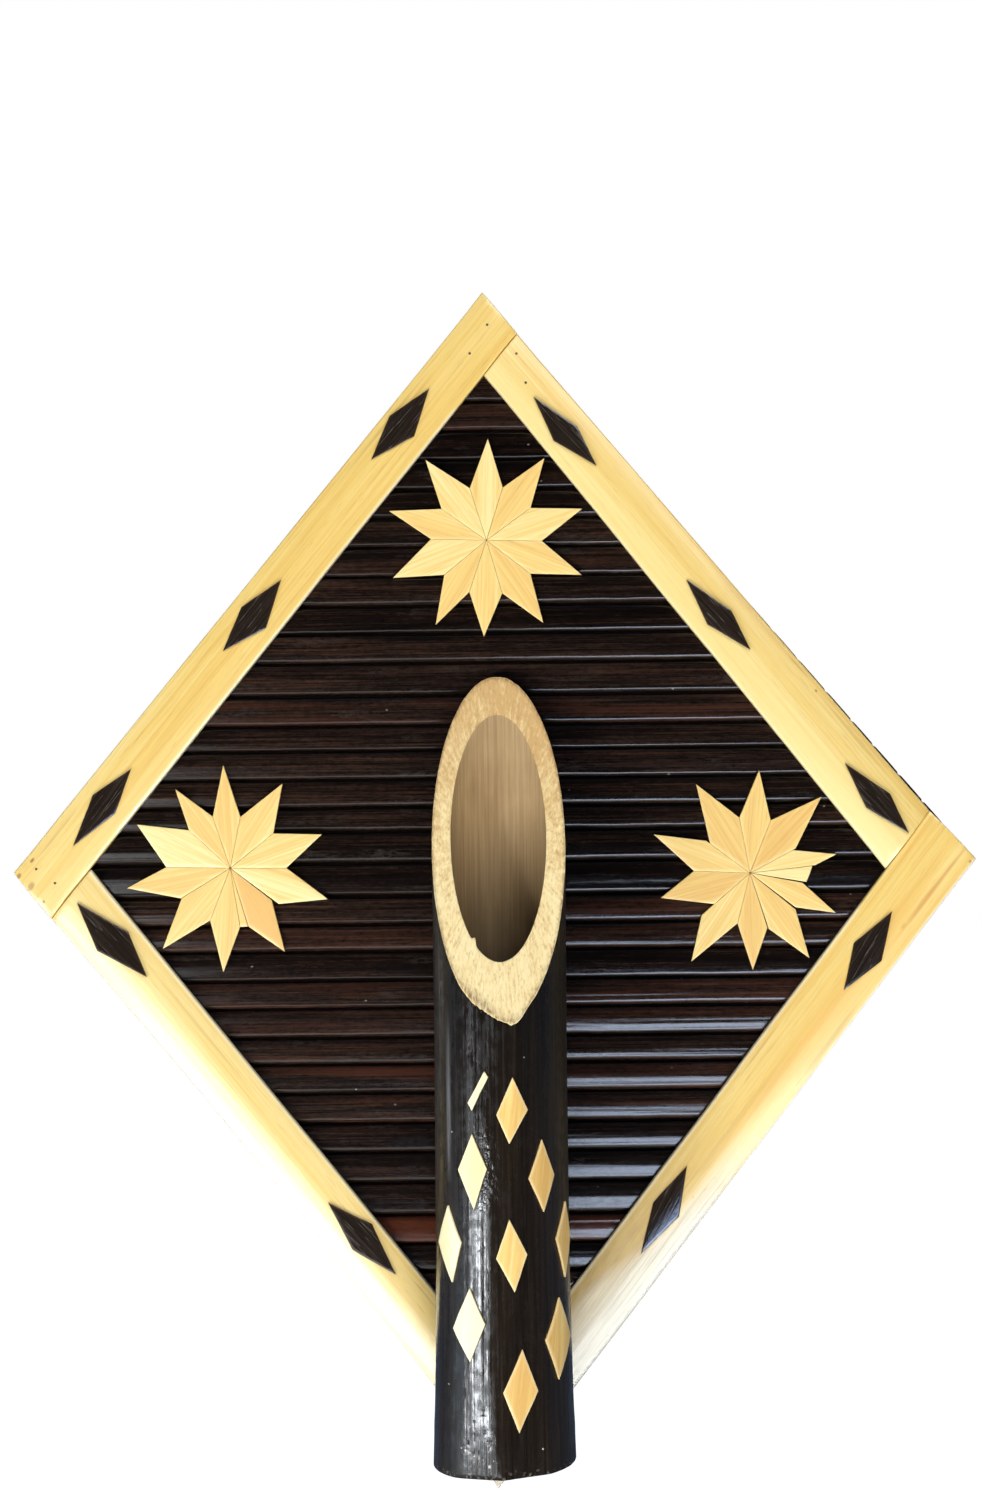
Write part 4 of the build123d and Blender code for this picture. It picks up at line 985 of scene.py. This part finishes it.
# ---------------------------------------------------------------- vase tube
def tube_place(lx, ly, h):
    """The tube's own x, y (towards the wall) and height to the row frame."""
    c = 1 / math.hypot(1, tube_lean)
    x = tube_foot[0] + lx * c + h * tube_lean * c
    z = tube_foot[2] - lx * tube_lean * c + h * c
    return world(x, tube_foot[1] - ly, z)


prof_h, prof_r = np.array(tube_profile).T
rough_a, rough_b, rough_c = Noise(41), Noise(42), Noise(43)


def smooth_min(a, b, k):
    h = np.clip(0.5 + 0.5 * (b - a) / k, 0, 1)
    return b + (a - b) * h - k * h * (1 - h)


def culm_radius(phi, h, detail=True):
    """Outside radius at an angle (0 straight ahead, positive to the right) and height."""
    base = np.interp(h, prof_h, prof_r)
    base = base - 0.10 + 0.10 * np.exp(-(((h - 16.0) / 3.0) ** 2))
    sides = []
    for angle, foot, slope, soft in facets:
        turn = np.cos(phi - angle)
        facet = np.where(turn > 0.2, (foot + slope * h - 0.05) / np.maximum(turn, 0.2), 999.0)
        sides.append(smooth_min(base, facet, soft))
    r = smooth_min(sides[0], sides[1], 0.07)
    # towards the lip the culm is flatter left of the front and stands out right of it
    lip = np.clip((h - 138.0) / 46.0, 0, 1)
    lip = lip * lip * (3 - 2 * lip)
    deg = np.degrees(phi)
    r = r + lip * (1.0 * np.exp(-(((deg - 13.0) / 8.5) ** 2)) - 0.65 * np.exp(-(((deg + 12.0) / 11.0) ** 2)))
    if detail:
        a = phi * 28.0
        r = r + 0.05 * (rough_a(a * 0.75 + 200, h * 0.012) - 1) + 0.035 * (rough_b(a * 0.22 + 90, h * 0.02) - 1)
        r = r + 0.05 * (rough_c(a * 0.10 + 50, h * 0.06) - 1)
    turn = np.cos(phi - math.pi)
    flat = np.where(turn > 0.2, tube_back / np.maximum(turn, 0.2), 999.0)
    return np.minimum(r, flat)


def mouth_h(ly):
    return mouth_back_z + mouth_rise * (ly - mouth_back_y)


piece = Piece()
N = 288
phi = np.linspace(-math.pi, math.pi, N, endpoint=False)
chip = Noise(44)
deg = np.degrees(phi)
nick = 0.16 + 0.26 * np.clip(chip(phi * 9 + 60, 0.3), 0, 1) ** 2 + 0.45 * np.clip(chip(phi * 22 + 90, 0.7) - 0.55, 0, 1)
# torn stretch of the skin left of the lip's lowest point, and one small notch right of it
torn = np.exp(-(((deg + 20.0) / 14.0) ** 2))
nick += 0.42 * torn * (0.6 + 0.7 * chip(phi * 52 + 30, 0.2))
nick += 0.42 * np.exp(-(((deg - 8.5) / 1.7) ** 2))
nick = np.maximum(nick, 0.10)


def grain_at(lx, ly, h):
    lx, ly, h = np.broadcast_arrays(lx, ly, h)
    return np.stack([h, lx, ly], -1)


# height of the mouth's edge at each angle, where the skin meets the cut
h_edge = np.full(N, 250.0)
for _ in range(12):
    h_edge = mouth_h(-culm_radius(phi, h_edge) * np.cos(phi))
M = 130
rows = np.linspace(0, 1, M)
foot_ease = 0.7 + foot_tilt * 29.9 * np.sin(phi)
H = foot_ease[:, None] + (h_edge - nick * 1.4 - foot_ease)[:, None] * rows[None, :]
PHI = np.broadcast_to(phi[:, None], H.shape)
R = culm_radius(PHI, H)
wear = np.clip(1 - (H - foot_ease[:, None]) / 3.5, 0, 1) * 0.45
wear = wear * np.where(np.abs(PHI) < 1.2, 1.0, 0.6)
wear = np.maximum(wear, 0.6 * torn[:, None] * np.clip(1 - (h_edge[:, None] - H) / 1.8, 0, 1))
skin = piece.grid(tube_place(R * np.sin(PHI), -R * np.cos(PHI), H),
                  grain_at(R * np.sin(PHI), -R * np.cos(PHI), H), 0, 0.5, wear, wrap_u=True)

# sawn face, from the nicked outer edge to the bore
K = 16
ro = R[:, -1]
px, py = ro * np.sin(phi), -ro * np.cos(phi)
nub = 1.0 * np.exp(-(((deg + 32.0) / 2.4) ** 2))  # splinter left on the bore's edge
bx, by = (bore_r - nub) * np.sin(phi), bore_back - (bore_r - nub) * np.cos(phi)
wall = np.hypot(px - bx, py - by)
start = np.minimum(nick / wall, 0.3)
q = np.linspace(0, 1, K)
q = start[:, None] + (1 - start[:, None]) * q[None, :]
fx, fy = px[:, None] + (bx - px)[:, None] * q, py[:, None] + (by - py)[:, None] * q
saw = Noise(45)
fh = mouth_h(fy) - 0.12 + 0.10 * saw(fx * 0.35 + 80, fy * 0.35 + 80) + 0.05 * saw(fx * 1.1 + 20, fy * 1.1 + 20)
fh[:, -1] -= 0.35
edge_wear = np.zeros_like(fx)
fray = 0.5 + 0.5 * chip(phi * 34 + 12, 0.6)
edge_wear[:, 0], edge_wear[:, 1] = 1.0, 0.35 + 0.6 * torn
edge_wear[:, 2], edge_wear[:, 3] = 0.10 + 0.75 * torn * fray, 0.45 * torn * fray
edge_wear[:, -1] = 0.45
cut = piece.grid(tube_place(fx, fy, fh), grain_at(fx, fy, fh), 1, 0.5, edge_wear, wrap_u=True)
piece.quads(np.stack([skin[:, -1], cut[:, 0]], 1), 1, 0.5, wrap_u=True)

# bore wall down to the node
MI = 70
rows = np.linspace(0, 1, MI)
IH = fh[:, -1][:, None] + (node_high + 1.0 - fh[:, -1][:, None]) * rows[None, :]
grow = 0.10 * (rough_b(phi[:, None] * 20 * 0.6 + 60, IH * 0.015) + 1) * np.minimum(1, rows * 8)[None, :]
IR = bore_r + grow - nub[:, None] * np.clip(1 - rows * 55, 0, 1)[None, :]
IX, IY = IR * np.sin(phi)[:, None], bore_back - IR * np.cos(phi)[:, None]
inside = piece.grid(tube_place(IX, IY, IH), grain_at(IX, IY, IH), 2, 0.5, 0.0, wrap_u=True)
piece.quads(np.stack([cut[:, -1], inside[:, 0]], 1), 2, 0.5, wrap_u=True)


def disc(ring, rx, ry, h, rise, finish):
    """Closes a ring with a shallow dish."""
    last = ring
    for s in (0.985, 0.93, 0.8, 0.6, 0.4, 0.2):
        x, y = rx * s, bore_back + (ry - bore_back) * s
        hh = h + rise * (1 - s**2) + 0.15 * saw(x * 0.3 + 40, y * 0.3 + 40)
        nxt = piece.points(tube_place(x, y, hh), grain_at(x, y, hh))
        piece.quads(np.stack([last, nxt], 1), finish, 0.5, wrap_u=True)
        last = nxt
    c = piece.points(tube_place(0.0, bore_back, h + rise).reshape(1, 3), np.array([[h + rise, 0.0, bore_back]]))[0]
    for a, b in zip(last, np.roll(last, -1)):
        piece.face([a, b, c], finish)


disc(inside[:, -1], IX[:, -1], IY[:, -1], node_high + 0.2, -0.6, 2)

# foot: eased rim, sawn ring, recess below the node
rf = R[:, 0]
foot_rows = []
for e, h in ((0.25, 0.22), (0.75, 0.0)):
    x, y = (rf - e) * np.sin(phi), -(rf - e) * np.cos(phi)
    y = np.minimum(y, tube_back - e)
    foot_rows.append((x, y, h + foot_tilt * x))
x0, y0, _ = foot_rows[-1]
bx, by = bore_r * np.sin(phi), bore_back - bore_r * np.cos(phi)
for s in (0.25, 0.5, 0.75, 0.96):
    x, y = x0 + (bx - x0) * s, y0 + (by - y0) * s
    foot_rows.append((x, y, foot_tilt * x + 0.05 * (saw(x * 0.5 + 70, y * 0.5 + 70) + 1)))
rows = [piece.points(tube_place(x, y, h), grain_at(x, y, h), np.full(N, 0.4)) for x, y, h in foot_rows]
piece.quads(np.stack([skin[:, 0]] + rows[:2], 1), 0, 0.5, wrap_u=True)
piece.quads(np.stack(rows[1:], 1), 3, 0.5, wrap_u=True)
recess = []
for h, tilted in ((0.5, 1.0), (4.0, 0.6), (8.0, 0.3), (node_low, 0.0)):
    hh = h + tilted * foot_tilt * bx
    recess.append(piece.points(tube_place(bx, by, hh), grain_at(bx, by, hh)))
piece.quads(np.stack([rows[-1]] + recess, 1), 3, 0.5, wrap_u=True)
disc(recess[-1], bx, by, node_low, 0.5, 3)


def foot_cut(name):
    """Sawn foot: stain soaked into the end grain."""
    m = Mat(name)
    g = m.attr("grain", "Vector")
    grit = m.noise(m.vec("MULTIPLY", g, (0.2, 1.3, 1.3)), 5, 0.7)
    soak = m.noise(m.vec("MULTIPLY", g, (0.1, 0.2, 0.2)), 3, 0.5)
    f = m.math("ADD", m.math("MULTIPLY", grit, 0.5), m.math("MULTIPLY", soak, 0.5))
    colour = m.ramp(f, [(0.34, (0.020, 0.013, 0.009)), (0.56, (0.060, 0.036, 0.020)), (0.78, (0.21, 0.13, 0.065))])
    m.set(Base_Color=colour, Roughness=m.span(grit, 0.3, 0.7, 0.55, 0.8), Specular_IOR_Level=0.35)
    m.bump(grit, 0.0003, 0.7)
    return m.mat


FOOT = foot_cut("culm_foot")
piece.make("vase_tube_finish", [CULM, CUT, BORE, FOOT], ["vase_tube"], sharp=42.0)

# pale lozenges, bent round the tube
piece = Piece()
for k, corners in enumerate(tube_chips):
    middle = math.radians((corners[1][0] + corners[3][0]) / 2)
    flat = [(28.2 * math.sin(math.radians(a) - middle), h) for a, h in corners]

    def place(u, v, d, middle=middle):
        a = middle + np.arcsin(np.clip(u / 28.2, -1, 1))
        rr = culm_radius(a, v, detail=False) + chip_glue + d - 0.02
        return tube_place(rr * np.sin(a), -rr * np.cos(a), v)

    plate(piece, flat, place, chip_t, 0.16, (0.12, 1.0), steps=8, rings=5, tone=chip_tones_painted_light[k],
          seed=300 + k, wobble=0.10)
piece.make("tube_diamonds_finish", [CHIP], ["tube_diamonds"])

# ---------------------------------------------------------------- board, battens, packing block
piece = Piece()
plate(piece, panel, lambda u, v, d: world(u, board_front - d, v), board_front - board_back, 0.35, (1.0, 0.08),
      steps=40, rings=12, tone=0.5, seed=7)
piece.make("back_board_finish", [BOARD], ["back_board"])
for k, (name, x) in enumerate((("batten_left", -80.0), ("batten_right", 80.0))):
    rn = Noise(720 + k)
    piece = Piece()
    scar = (-142.0, -214.0)[k]

    def lift(u, v, x=x, rn=rn, scar=scar):
        return (-0.16 + 0.06 * rn(u * 0.9, v * 0.012) + 0.06 * rn(u * 0.2 + 30, v * 0.03)
                + 0.10 * np.exp(-(((v - scar + 0.05 * (u - x)) / 1.3) ** 2)))

    corners = [(x - 11, -308.0), (x + 11, -308.0), (x + 11, -48.0), (x - 11, -48.0)]
    plate(piece, corners, lambda u, v, d: world(u, board_back - d, v), 9.0, 1.0, (0.0, 1.0),
          steps=60, rings=14, tone=(0.42, 0.6)[k], lift=lift, seed=700 + k)
    piece.make(f"{name}_finish", [BATTEN], [name])
px_, pz_ = tube_foot[0] + tube_lean * (-137.2 - tube_foot[2]), -137.2
corners = [(-8, -13.5), (-6.5, -15), (6.5, -15), (8, -13.5), (8, 13.5), (6.5, 15), (-6.5, 15), (-8, 13.5)]
piece = Piece()
plate(piece, [(px_ + a, pz_ + b) for a, b in corners], lambda u, v, d: world(u, slat_front + d, v),
      rail_crown, 0.25, (0.0, 1.0), steps=6, rings=5, tone=0.7, seed=733)
piece.make("tube_packing_finish", [BATTEN], ["tube_packing"])

# ---------------------------------------------------------------- metal pieces keep their frame shapes
for node, mat in (
    ("tube_screws", STEEL), ("tube_screw_washers", STEEL), ("hanger_screw", STEEL),
    ("hanger_strap", BRASS), ("hanger_ring", BRASS),
):
    mesh = frame["nodes"][node].data
    if not mesh.materials:
        mesh.materials.append(mat)
    for i in range(len(mesh.materials)):
        mesh.materials[i] = mat

# ---------------------------------------------------------------- floor, light, camera
floor_mesh = bpy.data.meshes.new("floor")
fz, fs = -2.20, 12.0
floor_mesh.from_pydata([(-fs, -fs, fz), (fs, -fs, fz), (fs, fs, fz), (-fs, fs, fz)], [], [(0, 1, 2, 3)])
floor = bpy.data.objects.new("floor", floor_mesh)
bpy.context.scene.collection.objects.link(floor)
m = Mat("floor_pale")
tint = m.noise(m.obj(), 3, 0.5, scale=1.5)
m.set(Base_Color=m.ramp(tint, [(0.3, (0.93, 0.93, 0.92)), (0.7, (0.96, 0.96, 0.955))]), Roughness=0.9)
m.set(Emission_Color=(1.0, 1.0, 1.0), Emission_Strength=1.0)
floor_mesh.materials.append(m.mat)
floor.visible_diffuse = floor.visible_glossy = False

sky = bpy.data.worlds.new("studio")
bpy.context.scene.world = sky
sky.use_nodes = True
t = sky.node_tree
t.nodes.clear()
out = t.nodes.new("ShaderNodeOutputWorld")
seen, lit = t.nodes.new("ShaderNodeBackground"), t.nodes.new("ShaderNodeBackground")
seen.inputs[0].default_value, seen.inputs[1].default_value = (1, 1, 1, 1), 1.0
lit.inputs[0].default_value = (0.48, 0.66, 1.0, 1)
# dim in front of the panel, brighter round the sides and behind
way, split_way = t.nodes.new("ShaderNodeTexCoord"), t.nodes.new("ShaderNodeSeparateXYZ")
level = t.nodes.new("ShaderNodeMapRange")
t.links.new(way.outputs["Generated"], split_way.inputs[0])
t.links.new(split_way.outputs[1], level.inputs["Value"])
for key, v in (("From Min", -0.95), ("From Max", 0.1), ("To Min", 0.03), ("To Max", 0.20)):
    level.inputs[key].default_value = v
t.links.new(level.outputs[0], lit.inputs[1])
path, pick = t.nodes.new("ShaderNodeLightPath"), t.nodes.new("ShaderNodeMixShader")
t.links.new(path.outputs["Is Camera Ray"], pick.inputs[0])
t.links.new(lit.outputs[0], pick.inputs[1])
t.links.new(seen.outputs[0], pick.inputs[2])
t.links.new(pick.outputs[0], out.inputs[0])


def lamp(name, at, aim, size, power, colour=(1, 1, 1)):
    data = bpy.data.lights.new(name, "AREA")
    data.shape = "RECTANGLE"
    data.size, data.size_y = size
    data.energy = power
    data.color = colour
    obj = bpy.data.objects.new(name, data)
    bpy.context.scene.collection.objects.link(obj)
    obj.location = at
    d = np.subtract(aim, at)
    from mathutils import Vector
    obj.rotation_euler = Vector(d).to_track_quat("-Z", "Y").to_euler()
    return obj


def receivers(light, name, include, nodes=()):
    """The pieces that a lamp lights, picked by the start of their names, and frame nodes beside them."""
    group = bpy.data.collections.new(name)
    for node in nodes:
        group.objects.link(frame["nodes"][node])
    for o in bpy.data.objects:
        if o.name.endswith("_finish") and o.name.startswith(include):
            group.objects.link(o)
    light.light_linking.receiver_collection = group


# broad soft light from low in front; on the dark varnish only its diffuse part
key_at, key_aim, key_size, key_colour = (-0.30, -0.95, -1.15), (0, 0, -0.22), (2.2, 1.1), (1.0, 0.98, 0.95)
key = lamp("key_low", key_at, key_aim, key_size, 26.5, key_colour)
receivers(key, "key_pieces", ("rail_", "star_", "tube_diamonds"))
key_dark = lamp("key_dark", key_at, key_aim, key_size, 22.0, key_colour)
key_dark.visible_glossy = False
receivers(key_dark, "key_dark_pieces", ("slat_", "vase_", "back_", "batten_", "tube_packing"))
left_soft = lamp("left_soft", (-1.35, -0.75, -0.35), (0, 0, -0.22), (0.8, 1.2), 5.0, (0.97, 0.98, 1.0))
left_soft.visible_glossy = False
left_side = lamp("left_side", (-1.25, -0.40, -0.80), (0, -0.07, -0.36), (1.0, 0.42), 2.3, (0.66, 0.84, 1.0))
receivers(left_side, "left_side_pieces", ("vase_",))
left_chip = lamp("left_chip", (-1.25, -0.40, -0.66), (0, -0.07, -0.36), (1.0, 0.55), 6.0, (0.90, 0.95, 1.0))
receivers(left_chip, "left_chip_pieces", ("tube_diamonds",))
top_light = lamp("top_soft", (0.45, -1.40, 0.95), (0, 0, -0.20), (1.2, 0.8), 21.0, (1.0, 0.98, 0.95))
receivers(top_light, "top_pieces", ("rail_", "star_", "vase_", "tube_", "back_", "batten_"))
# broad panels behind, for the back
behind = ("back_", "batten_", "tube_packing")
metal = ("tube_screws", "tube_screw_washers", "hanger_screw", "hanger_strap", "hanger_ring")
back_soft = lamp("back_soft", (0.75, 1.20, 0.45), (0, 0, -0.18), (1.4, 1.2), 26.0, (1.0, 0.98, 0.96))
receivers(back_soft, "back_soft_pieces", behind, metal)
back_fill = lamp("back_fill", (-0.95, 1.05, -0.45), (0, 0, -0.18), (1.0, 1.2), 9.0, (0.94, 0.97, 1.0))
receivers(back_fill, "back_fill_pieces", behind, metal)
# small panel at the left, for the gloss of the tube's flat side
left_spot = lamp("left_spot", (-0.96, -1.05, -0.655), (0, -0.07, -0.37), (0.22, 0.18), 5.0, (0.90, 0.95, 1.0))
receivers(left_spot, "left_spot_pieces", ("vase_", "slat_"))
# low panels, and one far left: only their gloss shows
low_line = lamp("low_line", (0.10, -0.95, -1.15), (0, 0, -0.25), (1.9, 0.7), 7.0, (1.0, 0.96, 0.91))
low_right = lamp("low_right", (0.28, -1.00, -0.70), (0.05, 0, -0.3), (0.48, 0.26), 5.3, (0.66, 0.78, 1.0))
low_spot = lamp("low_spot", (0.30, -0.99, -0.715), (0.06, 0, -0.32), (0.50, 0.30), 6.6, (0.46, 0.63, 1.0))
wash_right = lamp("wash_right", (0.43, -0.97, -0.83), (0.08, 0, -0.33), (0.58, 0.32), 9.8, (0.72, 0.86, 1.0))
wash_left = lamp("wash_left", (-0.47, -0.98, -0.70), (-0.10, 0, -0.28), (0.66, 0.50), 17.0, (0.92, 0.96, 1.0))
edge_right = lamp("edge_right", (0.92, -0.03, -0.98), (0.10, -0.02, -0.30), (0.6, 0.3), 3.2, (0.95, 0.98, 1.0))
receivers(edge_right, "edge_right_pieces", ("rail_lower_right",))
low_left = lamp("low_left", (-0.37, -1.00, -0.41), (-0.15, 0, -0.19), (0.22, 0.22), 0.50, (0.95, 0.97, 1.0))
left_bar = lamp("left_bar", (-1.15, -0.82, -0.36), (-0.06, 0, -0.30), (0.35, 0.8), 20.0, (1.0, 0.97, 0.93))
for o in (low_line, low_right, low_spot, wash_right, wash_left, low_left, left_bar):
    o.visible_diffuse = False
receivers(low_line, "low_line_pieces", ("slat_",))
receivers(low_right, "low_right_pieces", ("slat_",))
receivers(low_spot, "low_spot_pieces", ("rail_diamonds",))
receivers(wash_right, "wash_right_pieces", ("rail_upper", "rail_lower", "star_"))
receivers(wash_left, "wash_left_pieces", ("rail_upper_left", "rail_lower", "star_"))
receivers(low_left, "low_left_pieces", ("slat_",))
receivers(left_bar, "left_bar_pieces", ("slat_",))

cam = bpy.data.cameras.new("camera")
cam.sensor_width = 36.0
cam.lens = 36.0 * 1100.0 / 645.0
eye = bpy.data.objects.new("camera", cam)
bpy.context.scene.collection.objects.link(eye)
eye.location = (-0.000645, -1.1175, -0.120)
eye.rotation_euler = (math.pi / 2, 0, 0)
bpy.context.scene.camera = eye
bpy.context.scene.view_settings.view_transform = "Standard"
